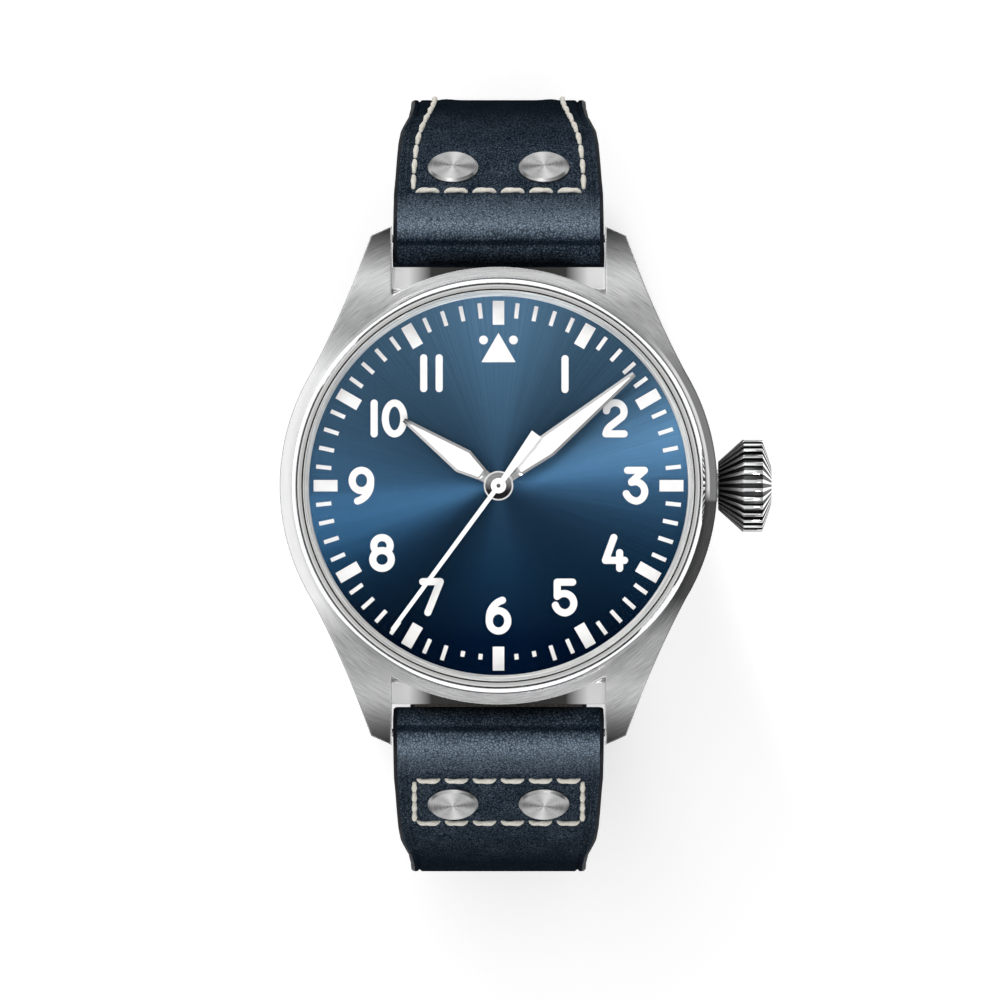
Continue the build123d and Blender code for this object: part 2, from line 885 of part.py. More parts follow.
with BuildPart() as case_back_ring:
    disc((0, 0), back_low, middle_low, back_ring_radius)
    chamfer(case_back_ring.faces().sort_by(Axis.Z)[0].edges(), length=back_ring_bevel)
    disc((0, 0), middle_low, middle_low + back_thread_height, back_thread_radius)
    disc((0, 0), back_low, back_glass_low, back_window_radius, Mode.SUBTRACT)
    disc((0, 0), back_glass_low, back_glass_top, back_glass_radius, Mode.SUBTRACT)
    disc(
        (0, 0),
        back_glass_top,
        middle_low + back_thread_height,
        movement_radius + soft_gap,
        Mode.SUBTRACT,
    )
    # Notches for the case key
    with BuildSketch(Plane.XY.offset(back_low)):
        with PolarLocations(back_ring_radius - back_ring_bevel - back_notch_width / 2, back_notch_count):
            Rectangle(back_notch_width, back_notch_width)
    extrude(amount=back_notch_depth, mode=Mode.SUBTRACT)

case_back_ring.part.label = "case_back_ring"
export_step(case_back_ring.part, "parts/case_back_ring.step")

with BuildPart() as case_back_crystal:
    disc((0, 0), back_glass_low, back_glass_top, back_glass_radius)

case_back_crystal.part.label = "case_back_crystal"
export_step(case_back_crystal.part, "parts/case_back_crystal.step")

with BuildPart() as case_back_gasket:
    with BuildSketch(Plane.XY.offset(middle_low)):
        Circle(back_ring_radius - back_gasket_width)
        Circle(back_ring_radius - 2 * back_gasket_width, mode=Mode.SUBTRACT)
    extrude(amount=back_gasket_height)

case_back_gasket.part.label = "case_back_gasket"
export_step(case_back_gasket.part, "parts/case_back_gasket.step")

# Crown, tube, seal and winding stem, all about the crown's axis

crown_axis = Axis((0, 0, crown_z), (1, 0, 0))
crown_root_x = case_radius + crown_face_gap
crown_band_x = crown_root_x + crown_cone_length
crown_cap_x = crown_band_x + crown_band_length
crown_end_x = crown_cap_x + crown_cap_length
crown_bore_end_x = crown_root_x + crown_bore_depth
tube_end_x = case_radius + tube_stand_out
post_end_x = crown_bore_end_x - crown_post_length

with BuildPart() as crown:
    with BuildSketch(Plane.XZ):
        with BuildLine():
            Polyline(
                (crown_root_x, crown_z + tube_radius + 2 * fit_gap),
                (crown_root_x, crown_z + crown_root_radius),
                (crown_band_x, crown_z + crown_radius),
                (crown_cap_x, crown_z + crown_radius),
                (crown_end_x, crown_z + crown_cap_radius),
                (crown_end_x, crown_z),
                (post_end_x, crown_z),
                (post_end_x, crown_z + crown_post_radius),
                (crown_bore_end_x, crown_z + crown_post_radius),
                (crown_bore_end_x, crown_z + tube_radius + 2 * fit_gap),
                (crown_root_x, crown_z + tube_radius + 2 * fit_gap),
            )
        make_face()
    revolve(axis=crown_axis)
    # Flutes run the crown's whole length and fade out on its cones
    flute_pitch = 2 * pi / crown_flutes
    flute_root = crown_radius - crown_flute_depth
    flute_out = crown_radius + crown_flute_depth
    flute_half_low = flute_pitch * crown_flute_share / 2 * flute_root
    flute_half_high = flute_pitch * (1 - crown_flute_share) / 2 * flute_out
    with BuildSketch(Plane.YZ.offset(crown_root_x)):
        with Locations((0, crown_z)):
            with PolarLocations(0, crown_flutes):
                Polygon(
                    (flute_root, -flute_half_low),
                    (flute_out, -flute_half_high),
                    (flute_out, flute_half_high),
                    (flute_root, flute_half_low),
                    align=None,
                )
    extrude(amount=crown_end_x - crown_root_x, mode=Mode.SUBTRACT)
    # Hole for the stem, in the post
    with BuildSketch(Plane.YZ.offset(post_end_x)):
        with Locations((0, crown_z)):
            Circle(stem_radius)
    extrude(amount=crown_post_length, mode=Mode.SUBTRACT)

crown.part.label = "crown"
export_step(crown.part, "parts/crown.step")

with BuildPart() as crown_tube:
    with BuildSketch(Plane.YZ.offset(movement_bore_radius)):
        with Locations((0, crown_z)):
            Circle(tube_radius)
            Circle(tube_bore_radius, mode=Mode.SUBTRACT)
    extrude(amount=tube_end_x - movement_bore_radius)

crown_tube.part.label = "crown_tube"
export_step(crown_tube.part, "parts/crown_tube.step")

with BuildPart() as crown_seal:
    with BuildSketch(Plane.YZ.offset(post_end_x + seal_length / 2)):
        with Locations((0, crown_z)):
            Circle(tube_bore_radius - fit_gap)
            Circle(crown_post_radius, mode=Mode.SUBTRACT)
    extrude(amount=seal_length)

crown_seal.part.label = "crown_seal"
export_step(crown_seal.part, "parts/crown_seal.step")

with BuildPart() as winding_stem:
    with BuildSketch(Plane.YZ.offset(stem_end_x)):
        with Locations((0, crown_z)):
            Circle(stem_radius)
    extrude(amount=crown_bore_end_x - stem_end_x)

winding_stem.part.label = "winding_stem"
export_step(winding_stem.part, "parts/winding_stem.step")

# Movement: ring, main plate and bridges

plate_wall_radius = movement_radius - movement_wall
ring_inner = movement_radius + fit_gap

with BuildPart() as movement_ring:
    with BuildSketch(Plane.XY.offset(bridge_low)):
        Circle(movement_bore_radius - fit_gap)
        Circle(ring_inner, mode=Mode.SUBTRACT)
    extrude(amount=dial_low - bridge_low)
    with BuildSketch(Plane.YZ):
        with Locations((0, crown_z)):
            Circle(tube_bore_radius)
    extrude(amount=case_radius, mode=Mode.SUBTRACT)

movement_ring.part.label = "movement_ring"
export_step(movement_ring.part, "parts/movement_ring.step")

plate_pivots = [great_centre, third_centre, escape_centre, pallet_centre, balance_centre]
screw_place_radius = movement_radius - screw_head_radius - 2 * close_gap
barrel_bridge_screws = [polar(angle, screw_place_radius) for angle in barrel_bridge_screw_angles]
train_bridge_screws = [polar(angle, screw_place_radius) for angle in train_bridge_screw_angles]
cock_screws = [polar(angle, screw_place_radius) for angle in cock_screw_angles]
screw_places = barrel_bridge_screws + train_bridge_screws + cock_screws
motion_height = dial_low - plate_top
minute_stud_radius = arbor_radius + close_gap

with BuildPart() as main_plate:
    disc((0, 0), plate_low, plate_top, movement_radius)
    # Outer wall that the bridges stand on, and the rim that carries the dial
    with BuildSketch(Plane.XY.offset(train_low)):
        Circle(movement_radius)
        Circle(plate_wall_radius, mode=Mode.SUBTRACT)
    extrude(amount=train_height)
    with BuildSketch(Plane.XY.offset(plate_top)):
        Circle(movement_radius)
        Circle(movement_radius - plate_rim_width, mode=Mode.SUBTRACT)
    extrude(amount=dial_low - plate_top)
    # Pillars for the bridge screws
    for place in screw_places:
        disc(place, train_low, plate_low, screw_head_radius + fit_gap)
    # Boss that carries the winding stem
    with BuildSketch(Plane.XY.offset(train_low)):
        with Locations((plate_wall_radius - stem_boss_length / 2 + fit_gap, 0)):
            Rectangle(stem_boss_length, 2 * stem_boss_half_width)
    extrude(amount=train_height)
    with BuildSketch(Plane.YZ):
        with Locations((0, crown_z)):
            Circle(stem_radius + fit_gap)
    extrude(amount=movement_radius, mode=Mode.SUBTRACT)
    # Holes of the jewels, the centre arbor, the barrel arbor and the screws
    for place in plate_pivots:
        disc(place, plate_low, plate_top, jewel_radius, Mode.SUBTRACT)
    disc(dial_centre, plate_low, plate_top, cannon_tube_radius + 2 * fit_gap, Mode.SUBTRACT)
    disc(barrel_centre, plate_low, plate_top - layer_gap, barrel_arbor_radius + fit_gap, Mode.SUBTRACT)
    for place in screw_places:
        disc(place, train_low, train_low + screw_length, screw_shank_radius, Mode.SUBTRACT)
    # Stud that the minute wheel turns on
    disc(minute_wheel_centre, plate_top, dial_low - close_gap, minute_stud_radius)

main_plate.part.label = "main_plate"
export_step(main_plate.part, "parts/main_plate.step")

# Bridges, each lying on the plate's wall and pillars


def bridge_holes(jewels, screws):
    """Holes of a bridge's jewels and screws."""
    for place in jewels:
        disc(place, bridge_low, bridge_top, jewel_radius, Mode.SUBTRACT)
    for place in screws:
        disc(place, bridge_low, bridge_top, screw_shank_radius, Mode.SUBTRACT)


split_y = bridge_split_up_share * movement_radius
step_x = bridge_step_share * movement_radius
stem_line_y = bridge_stem_share * movement_radius
foot_line_x = bridge_foot_share * movement_radius
foot_line_y = -foot_line_x
bridge_far = movement_radius + overrun

with BuildPart() as barrel_bridge:
    with BuildSketch(Plane.XY.offset(bridge_low)):
        Circle(movement_radius)
        Polygon(
            (-bridge_far, split_y),
            (step_x, split_y),
            (step_x, stem_line_y),
            (bridge_far, stem_line_y),
            (bridge_far, bridge_far),
            (-bridge_far, bridge_far),
            align=None,
            mode=Mode.INTERSECT,
        )
    extrude(amount=bridge_thickness)
    bridge_holes([great_centre], barrel_bridge_screws)
    disc(barrel_centre, bridge_low, bridge_top, barrel_arbor_radius + fit_gap, Mode.SUBTRACT)
    # Post that the crown wheel turns on
    disc(crown_wheel_centre, winding_low, bridge_low, barrel_arbor_radius)

barrel_bridge.part.label = "barrel_bridge"
export_step(barrel_bridge.part, "parts/barrel_bridge.step")

balance_window = balance_radius + balance_side_gap

with BuildPart() as train_bridge:
    with BuildSketch(Plane.XY.offset(bridge_low)):
        Circle(movement_radius)
        Polygon(
            (-bridge_far, split_y - bridge_split),
            (step_x - bridge_split, split_y - bridge_split),
            (step_x - bridge_split, stem_line_y - bridge_split),
            (bridge_far, stem_line_y - bridge_split),
            (bridge_far, foot_line_y),
            (foot_line_x, foot_line_y),
            (foot_line_x, -bridge_far),
            (-foot_line_x, -bridge_far),
            (-foot_line_x, foot_line_y),
            (-bridge_far, 0),
            align=None,
            mode=Mode.INTERSECT,
        )
        with Locations(balance_centre):
            Circle(balance_window, mode=Mode.SUBTRACT)
    extrude(amount=bridge_thickness)
    bridge_holes([dial_centre, third_centre, escape_centre], train_bridge_screws)

train_bridge.part.label = "train_bridge"
export_step(train_bridge.part, "parts/train_bridge.step")

cock_angle = bearing(dial_centre, balance_centre)
hairspring_low = train_low + close_gap
hairspring_outer = hairspring_inner + hairspring_half_turns * hairspring_pitch / 2
stud_centre = balance_centre + polar(cock_angle, hairspring_outer + 2 * fit_gap + arbor_radius)

with BuildPart() as balance_cock:
    with BuildSketch(Plane.XY.offset(bridge_low)):
        with BuildLine():
            cock_start = cock_angle - cock_half_angle
            CenterArc((0, 0), movement_radius, cock_start, 2 * cock_half_angle)
            CenterArc((0, 0), movement_radius - plate_rim_width, cock_start, 2 * cock_half_angle)
            for side in (-cock_half_angle, cock_half_angle):
                Line(
                    polar(cock_angle + side, movement_radius),
                    polar(cock_angle + side, movement_radius - plate_rim_width),
                )
        make_face()
        with Locations((balance_centre + polar(cock_angle, movement_radius - movement_wall)) / 2):
            SlotCenterToCenter(
                movement_radius - movement_wall - balance_centre.length,
                2 * balance_hub_radius + 2 * movement_wall,
                rotation=cock_angle,
            )
        Circle(movement_radius, mode=Mode.INTERSECT)
    extrude(amount=bridge_thickness)
    # Stud beside the hairspring's outer end
    disc(stud_centre, bridge_top, hairspring_low + hairspring_height, arbor_radius)
    bridge_holes([balance_centre], cock_screws)

balance_cock.part.label = "balance_cock"
export_step(balance_cock.part, "parts/balance_cock.step")

pallet_bridge_low = balance_low + close_gap

with BuildPart() as pallet_bridge:
    with BuildSketch(Plane.XY.offset(pallet_bridge_low)):
        with Locations(pallet_centre):
            SlotCenterToCenter(2 * pallet_foot_reach, pallet_bridge_width, rotation=lever_angle + 90)
    extrude(amount=pallet_bridge_thickness)
    for side in (-90, 90):
        foot = pallet_centre + polar(lever_angle + side, pallet_foot_reach)
        disc(foot, pallet_bridge_low, plate_low, pallet_bridge_width / 2)
    disc(
        pallet_centre,
        pallet_bridge_low,
        pallet_bridge_low + pallet_bridge_thickness,
        small_jewel_radius,
        Mode.SUBTRACT,
    )

pallet_bridge.part.label = "pallet_bridge"
export_step(pallet_bridge.part, "parts/pallet_bridge.step")

automatic_reach = automatic_reach_share * movement_radius

with BuildPart() as automatic_bridge:
    with BuildSketch(Plane.XY.offset(automatic_low)):
        SlotCenterToCenter(
            2 * automatic_reach, 2 * automatic_bridge_foot_radius, rotation=automatic_angle
        )
        Circle(automatic_bridge_width)
    extrude(amount=automatic_bridge_thickness)
    for angle in (automatic_angle, automatic_angle + 180):
        foot = polar(angle, automatic_reach)
        disc(foot, automatic_top, bridge_low, automatic_bridge_foot_radius)

automatic_bridge.part.label = "automatic_bridge"
export_step(automatic_bridge.part, "parts/automatic_bridge.step")

with BuildPart() as bridge_screws:
    for place in screw_places:
        disc(place, bridge_low - screw_head_height, bridge_low, screw_head_radius)
        disc(place, bridge_low, train_low + screw_length, screw_shank_radius)
        with BuildSketch(Plane.XY.offset(bridge_low - screw_head_height)):
            with Locations(place):
                Rectangle(2 * screw_head_radius + 2 * fit_gap, screw_slot_width)
        extrude(amount=screw_slot_depth, mode=Mode.SUBTRACT)

bridge_screws.part.label = "bridge_screws"
export_step(bridge_screws.part, "parts/bridge_screws.step")


def jewel(place, low, thickness, radius):
    """A ruby bearing with the hole that a pivot turns in."""
    with BuildSketch(Plane.XY.offset(low)) as ring:
        with Locations(place):
            Circle(radius)
            Circle(jewel_hole_radius, mode=Mode.SUBTRACT)
    extrude(ring.sketch, amount=thickness)


with BuildPart() as jewels:
    for place in (great_centre, third_centre, dial_centre, escape_centre, balance_centre):
        jewel(place, bridge_low, bridge_thickness, jewel_radius)
    for place in plate_pivots:
        jewel(place, plate_low, plate_thickness, jewel_radius)
    jewel(pallet_centre, pallet_bridge_low, pallet_bridge_thickness, small_jewel_radius)

jewels.part.label = "jewels"
export_step(jewels.part, "parts/jewels.step")

# Barrel and winding wheels

ratchet_phase = crown_wheel_angle
crown_wheel_phase = gap_phase(crown_wheel_teeth, crown_wheel_angle + 180)
barrel_phase = great_from_barrel_angle
barrel_root = barrel_module * (barrel_teeth / 2 - tooth_root_share)
barrel_low = train_low + close_gap
barrel_high = barrel_low + barrel_drum_height

with BuildPart() as barrel:
    toothed_disc(
        barrel_centre, barrel_low, barrel_flange_height, barrel_teeth, barrel_module, barrel_phase
    )
    disc(barrel_centre, barrel_low, barrel_high, barrel_root - fit_gap)
    disc(
        barrel_centre,
        barrel_low + drum_lid,
        barrel_high - drum_lid,
        barrel_root - drum_wall,
        Mode.SUBTRACT,
    )
    disc(barrel_centre, barrel_low, barrel_high, barrel_arbor_radius + fit_gap, Mode.SUBTRACT)

barrel.part.label = "barrel"
export_step(barrel.part, "parts/barrel.step")


def spiral(centre, inner, pitch, half_turns, width, start_angle):
    """A flat coil of half circles, each a half pitch larger than the last."""
    radius = inner
    middle = centre
    angle = start_angle
    for turn in range(half_turns):
        with BuildSketch() as piece:
            with Locations(middle):
                Circle(radius + width / 2)
                Circle(radius - width / 2, mode=Mode.SUBTRACT)
                Rectangle(
                    2 * (radius + width),
                    radius + width,
                    rotation=angle,
                    align=(Align.CENTER, Align.MIN),
                    mode=Mode.INTERSECT,
                )
        add(piece.sketch)
        middle = middle + polar(angle, pitch / 2)
        radius = radius + pitch / 2
        angle = angle + 180


with BuildPart() as mainspring:
    with BuildSketch(Plane.XY.offset(barrel_low + drum_lid + close_gap)):
        spiral(
            barrel_centre,
            barrel_arbor_radius + mainspring_leaf,
            mainspring_pitch,
            mainspring_half_turns,
            mainspring_leaf,
            0,
        )
    extrude(amount=barrel_drum_height - 2 * drum_lid - 2 * close_gap)

mainspring.part.label = "mainspring"
export_step(mainspring.part, "parts/mainspring.step")

with BuildPart() as ratchet_wheel:
    toothed_disc(
        barrel_centre,
        winding_low,
        winding_wheel_thickness,
        ratchet_teeth,
        winding_module,
        ratchet_phase,
    )
    disc(barrel_centre, winding_low, plate_top - layer_gap - close_gap, barrel_arbor_radius)

ratchet_wheel.part.label = "ratchet_wheel"
export_step(ratchet_wheel.part, "parts/ratchet_wheel.step")

with BuildPart() as crown_wheel:
    toothed_disc(
        crown_wheel_centre,
        winding_low,
        winding_wheel_thickness,
        crown_wheel_teeth,
        winding_module,
        crown_wheel_phase,
    )
    disc(
        crown_wheel_centre,
        winding_low,
        winding_top,
        barrel_arbor_radius + fit_gap,
        Mode.SUBTRACT,
    )

crown_wheel.part.label = "crown_wheel"
export_step(crown_wheel.part, "parts/crown_wheel.step")

# Going train, each arbor with its wheel and pinion

great_to_barrel = great_from_barrel_angle + 180
great_to_third_angle = bearing(great_centre, third_centre)
third_to_centre_angle = bearing(third_centre, dial_centre)
great_root = great_module * (great_teeth / 2 - tooth_root_share)
third_root = third_module * (third_teeth / 2 - tooth_root_share)
fourth_root = fourth_module * (fourth_teeth / 2 - tooth_root_share)

with BuildPart() as great_wheel:
    toothed_disc(
        great_centre, great_wheel_low, sheet_thickness, great_teeth, great_module, great_to_third_angle
    )
    spokes(
        great_centre,
        great_wheel_low,
        sheet_thickness,
        great_root - balance_rim_width,
        2 * arbor_radius + balance_rim_width,
        balance_arm_width,
        spoke_count,
    )
    toothed_disc(
        great_centre,
        barrel_low,
        barrel_flange_height,
        great_pinion_teeth,
        barrel_module,
        gap_phase(great_pinion_teeth, great_to_barrel),
    )
    arbor(great_centre, barrel_low, plate_low - close_gap)

great_wheel.part.label = "great_wheel"
export_step(great_wheel.part, "parts/great_wheel.step")

with BuildPart() as third_wheel:
    toothed_disc(
        third_centre, third_wheel_low, sheet_thickness, third_teeth, third_module, third_to_centre_angle
    )
    spokes(
        third_centre,
        third_wheel_low,
        sheet_thickness,
        third_root - balance_rim_width,
        2 * arbor_radius + balance_rim_width,
        balance_arm_width,
        spoke_count,
    )
    toothed_disc(
        third_centre,
        third_wheel_low + sheet_thickness,
        plate_low - 2 * close_gap - third_wheel_low - sheet_thickness,
        third_pinion_teeth,
        great_module,
        gap_phase(third_pinion_teeth, great_to_third_angle + 180),
    )
    arbor(third_centre, train_low + close_gap, plate_low - close_gap)

third_wheel.part.label = "third_wheel"
export_step(third_wheel.part, "parts/third_wheel.step")

with BuildPart() as fourth_wheel:
    toothed_disc(
        dial_centre, fourth_wheel_low, sheet_thickness, fourth_teeth, fourth_module, escape_angle
    )
    spokes(
        dial_centre,
        fourth_wheel_low,
        sheet_thickness,
        fourth_root - balance_rim_width,
        2 * arbor_radius + balance_rim_width,
        balance_arm_width,
        spoke_count,
    )
    toothed_disc(
        dial_centre,
        fourth_pinion_low,
        third_wheel_low + sheet_thickness + close_gap - fourth_pinion_low,
        fourth_pinion_teeth,
        third_module,
        gap_phase(fourth_pinion_teeth, third_to_centre_angle + 180),
    )
    disc(dial_centre, train_low + close_gap, seconds_hand_low + seconds_thickness, arbor_radius)
    disc(dial_centre, bridge_low + close_gap, train_low + close_gap, pivot_radius)

fourth_wheel.part.label = "fourth_wheel"
export_step(fourth_wheel.part, "parts/fourth_wheel.step")

escape_phase = lever_angle + 180 / escape_teeth

with BuildPart() as escape_wheel:
    with BuildSketch(Plane.XY.offset(escape_wheel_low)):
        with Locations(escape_centre):
            Circle(escape_root_radius)
            for tooth in range(escape_teeth):
                turn = escape_phase + tooth * 360 / escape_teeth
                Polygon(
                    polar(turn - escape_front_angle, escape_root_radius - fit_gap),
                    polar(turn - escape_tip_half_angle, escape_radius),
                    polar(turn + escape_tip_half_angle, escape_radius),
                    polar(turn + escape_back_angle, escape_root_radius - fit_gap),
                    align=None,
                )
    extrude(amount=sheet_thickness)
    spokes(
        escape_centre,
        escape_wheel_low,
        sheet_thickness,
        escape_root_radius - pallet_arm_width,
        2 * arbor_radius + 2 * fit_gap,
        pallet_arm_width,
        spoke_count,
    )
    toothed_disc(
        escape_centre,
        fourth_wheel_low - escape_pinion_overlap,
        sheet_thickness + 2 * escape_pinion_overlap,
        escape_pinion_teeth,
        fourth_module,
        gap_phase(escape_pinion_teeth, escape_angle + 180),
    )
    arbor(escape_centre, train_low + close_gap, plate_low - close_gap)

escape_wheel.part.label = "escape_wheel"
export_step(escape_wheel.part, "parts/escape_wheel.step")

# Pallet fork, whose stones stand just clear of the escape wheel's teeth

stone_radius = escape_radius + pallet_stone_gap + pallet_stone_width / 2
fork_reach = escape_to_balance.length - pallet_lever_length - impulse_pin_place - 2 * fit_gap

with BuildPart() as pallet_fork:
    with BuildSketch(Plane.XY.offset(escape_wheel_low)):
        for side in (-1, 1):
            stone = escape_centre + polar(lever_angle + side * pallet_span_angle, stone_radius)
            middle = (stone + pallet_centre) / 2
            with Locations(middle):
                SlotCenterToCenter(
                    (stone - pallet_centre).length,
                    pallet_stone_width,
                    rotation=bearing(pallet_centre, stone),
                )
        lever_end = pallet_centre + polar(lever_angle, fork_reach - impulse_pin_radius)
        with Locations((pallet_centre + lever_end) / 2):
            Rectangle((lever_end - pallet_centre).length, pallet_arm_width, rotation=lever_angle)
        with Locations(pallet_centre):
            Circle(pallet_hub_radius)
    extrude(amount=sheet_thickness)
    disc(pallet_centre, pallet_bridge_low + pallet_bridge_thickness, plate_low - close_gap, arbor_radius)
    disc(pallet_centre, pallet_bridge_low + close_gap, plate_top - close_gap, pivot_radius)

pallet_fork.part.label = "pallet_fork"
export_step(pallet_fork.part, "parts/pallet_fork.step")

with BuildPart() as balance_wheel:
    disc(balance_centre, balance_low, balance_low + balance_rim_height, balance_radius)
    spokes(
        balance_centre,
        balance_low,
        balance_rim_height,
        balance_radius - balance_rim_width,
        balance_hub_radius,
        balance_arm_width,
        balance_arms,
    )
    # Collet of the hairspring, and the roller with its impulse pin
    disc(
        balance_centre,
        hairspring_low,
        hairspring_low + hairspring_height,
        hairspring_inner - hairspring_wire / 2 - 2 * fit_gap,
    )
    disc(balance_centre, roller_low, roller_low + roller_thickness, roller_radius)
    pin_centre = balance_centre - polar(lever_angle, impulse_pin_place)
    disc(pin_centre, escape_wheel_low, roller_low, impulse_pin_radius)
    arbor(balance_centre, hairspring_low, plate_low - close_gap)

balance_wheel.part.label = "balance_wheel"
export_step(balance_wheel.part, "parts/balance_wheel.step")

with BuildPart() as hairspring:
    with BuildSketch(Plane.XY.offset(hairspring_low)):
        spiral(
            balance_centre,
            hairspring_inner,
            hairspring_pitch,
            hairspring_half_turns,
            hairspring_wire,
            cock_angle,
        )
    extrude(amount=hairspring_height)

hairspring.part.label = "hairspring"
export_step(hairspring.part, "parts/hairspring.step")

# Motion works under the dial

minute_wheel_low = plate_top + 2 * close_gap
minute_pinion_low = minute_wheel_low + minute_wheel_share * motion_height
hour_wheel_low = plate_top + hour_wheel_share * motion_height
hour_wheel_thickness = hour_wheel_thick_share * motion_height
hour_bore_radius = cannon_tube_radius + fit_gap
minute_wheel_back = minute_wheel_angle + 180

with BuildPart() as cannon_pinion:
    toothed_disc(
        dial_centre,
        plate_top + close_gap,
        cannon_pinion_share * motion_height,
        cannon_teeth,
        cannon_module,
        gap_phase(cannon_teeth, minute_wheel_angle),
    )
    disc(dial_centre, plate_low + layer_gap, minute_hand_low + hand_thickness, cannon_tube_radius)
    disc(
        dial_centre,
        plate_low + layer_gap,
        minute_hand_low + hand_thickness,
        cannon_bore_radius,
        Mode.SUBTRACT,
    )

cannon_pinion.part.label = "cannon_pinion"
export_step(cannon_pinion.part, "parts/cannon_pinion.step")

with BuildPart() as minute_wheel:
    toothed_disc(
        minute_wheel_centre,
        minute_wheel_low,
        minute_wheel_share * motion_height,
        minute_wheel_teeth,
        cannon_module,
        minute_wheel_back,
    )
    toothed_disc(
        minute_wheel_centre,
        minute_pinion_low,
        hour_wheel_low + hour_wheel_thickness - minute_pinion_low,
        minute_pinion_teeth,
        hour_module,
        minute_wheel_back,
    )
    disc(
        minute_wheel_centre,
        minute_wheel_low,
        hour_wheel_low + hour_wheel_thickness,
        minute_stud_radius + fit_gap,
        Mode.SUBTRACT,
    )

minute_wheel.part.label = "minute_wheel"
export_step(minute_wheel.part, "parts/minute_wheel.step")

with BuildPart() as hour_wheel:
    toothed_disc(
        dial_centre,
        hour_wheel_low,
        hour_wheel_thickness,
        hour_wheel_teeth,
        hour_module,
        gap_phase(hour_wheel_teeth, minute_wheel_angle),
    )
    disc(dial_centre, hour_wheel_low, hour_hand_low + hand_thickness, hour_tube_radius)
    disc(
        dial_centre,
        hour_wheel_low,
        hour_hand_low + hand_thickness,
        hour_bore_radius,
        Mode.SUBTRACT,
    )

hour_wheel.part.label = "hour_wheel"
export_step(hour_wheel.part, "parts/hour_wheel.step")

# Rotor and its bearing

rotor_plate_low = rotor_top - rotor_plate_thickness
bearing_head_low = rotor_plate_low - close_gap - sheet_thickness

with BuildPart() as rotor:
    with BuildSketch(Plane.XY.offset(rotor_plate_low)):
        Circle(rotor_radius)
        Circle(rotor_radius - rotor_rim_width, mode=Mode.SUBTRACT)
        Rectangle(
            2 * rotor_radius,
            2 * rotor_radius,
            align=(Align.CENTER, Align.MAX),
            mode=Mode.INTERSECT,
        )
        with PolarLocations(
            0,
            rotor_arm_count,
            start_angle=270 - rotor_arm_spread / 2,
            angular_range=rotor_arm_spread,
            endpoint=True,
        ):
            Rectangle(
                rotor_radius - rotor_rim_width / 2,
                rotor_arm_width,
                align=(Align.MIN, Align.CENTER),
            )
        Circle(rotor_hub_radius)
        Circle(rotor_bearing_radius + fit_gap, mode=Mode.SUBTRACT)
    extrude(amount=rotor_plate_thickness)
    with BuildSketch(Plane.XY.offset(rotor_low)):
        Circle(rotor_radius)
        Circle(rotor_radius - rotor_rim_width, mode=Mode.SUBTRACT)
        Rectangle(
            2 * rotor_radius,
            2 * rotor_radius,
            align=(Align.CENTER, Align.MAX),
            mode=Mode.INTERSECT,
        )
    extrude(amount=rotor_rim_height)

rotor.part.label = "rotor"
export_step(rotor.part, "parts/rotor.step")

with BuildPart() as rotor_bearing:
    disc(dial_centre, bearing_head_low, automatic_low, rotor_bearing_radius)
    disc(
        dial_centre,
        bearing_head_low,
        rotor_plate_low - close_gap,
        (rotor_bearing_radius + rotor_hub_radius) / 2,
    )

rotor_bearing.part.label = "rotor_bearing"
export_step(rotor_bearing.part, "parts/rotor_bearing.step")

# Hands: bevelled bodies with a flat luminous inlay


def hand_section(angle, low, radius, half_width, top_half_width):
    """One cross-section of a hand with sloping flanks."""
    with BuildSketch(across_hand(angle, radius, low)) as outline:
        Polygon(
            (-half_width, 0),
            (half_width, 0),
            (half_width, hand_edge_height),
            (top_half_width, hand_thickness),
            (-top_half_width, hand_thickness),
            (-half_width, hand_edge_height),
            align=None,
        )
    return outline.sketch.face()


def hand_half_width(radius, hub, wide_at, width, length, tip):
    """Half the width of a hand at this distance from the dial's axis."""
    if radius < wide_at:
        share = (radius - hub) / (wide_at - hub)
        return (hand_root_width + share * (width - hand_root_width)) / 2
    share = (radius - wide_at) / (length - wide_at)
    return (width + share * (tip - width)) / 2


def inlay_end(wide_at, width, length, tip):
    """The distance at which the inlay has become as narrow as its end."""
    share = (width - 2 * hand_border - lume_end_width) / (width - tip)
    return wide_at + share * (length - wide_at)


def hand_blade(angle, low, hub, wide_at, width, length, tip, lume_start):
    """Sections of a hand, from inside its hub to its tip."""
    ridge = hand_ridge_width / 2
    lume_start_half = hand_half_width(lume_start, hub, wide_at, width, length, tip)
    lume_end = inlay_end(wide_at, width, length, tip)
    lume_end_half = hand_half_width(lume_end, hub, wide_at, width, length, tip)
    return [
        (angle, low, hub - hand_root_width / 2, hand_root_width / 2, ridge),
        (angle, low, lume_start - hand_border, lume_start_half - hand_root_step, ridge),
        (angle, low, lume_start, lume_start_half, lume_start_half - hand_border),
        (angle, low, wide_at, width / 2, width / 2 - hand_border),
        (angle, low, lume_end, lume_end_half, lume_end_half - hand_border),
        (angle, low, length, tip / 2, ridge),
    ]


def inlay(angle, low, hub, wide_at, width, length, tip, lume_start):
    """Outline of a hand's inlay, on the floor of its pocket."""
    start_half = hand_half_width(lume_start, hub, wide_at, width, length, tip) - hand_border
    wide_half = width / 2 - hand_border
    end = inlay_end(wide_at, width, length, tip)
    with BuildSketch(hand_plane(angle, low + hand_edge_height)) as outline:
        Polygon(
            (-start_half, lume_start),
            (start_half, lume_start),
            (wide_half, wide_at),
            (lume_end_width / 2, end),
            (-lume_end_width / 2, end),
            (-wide_half, wide_at),
            align=None,
        )
    return outline.sketch


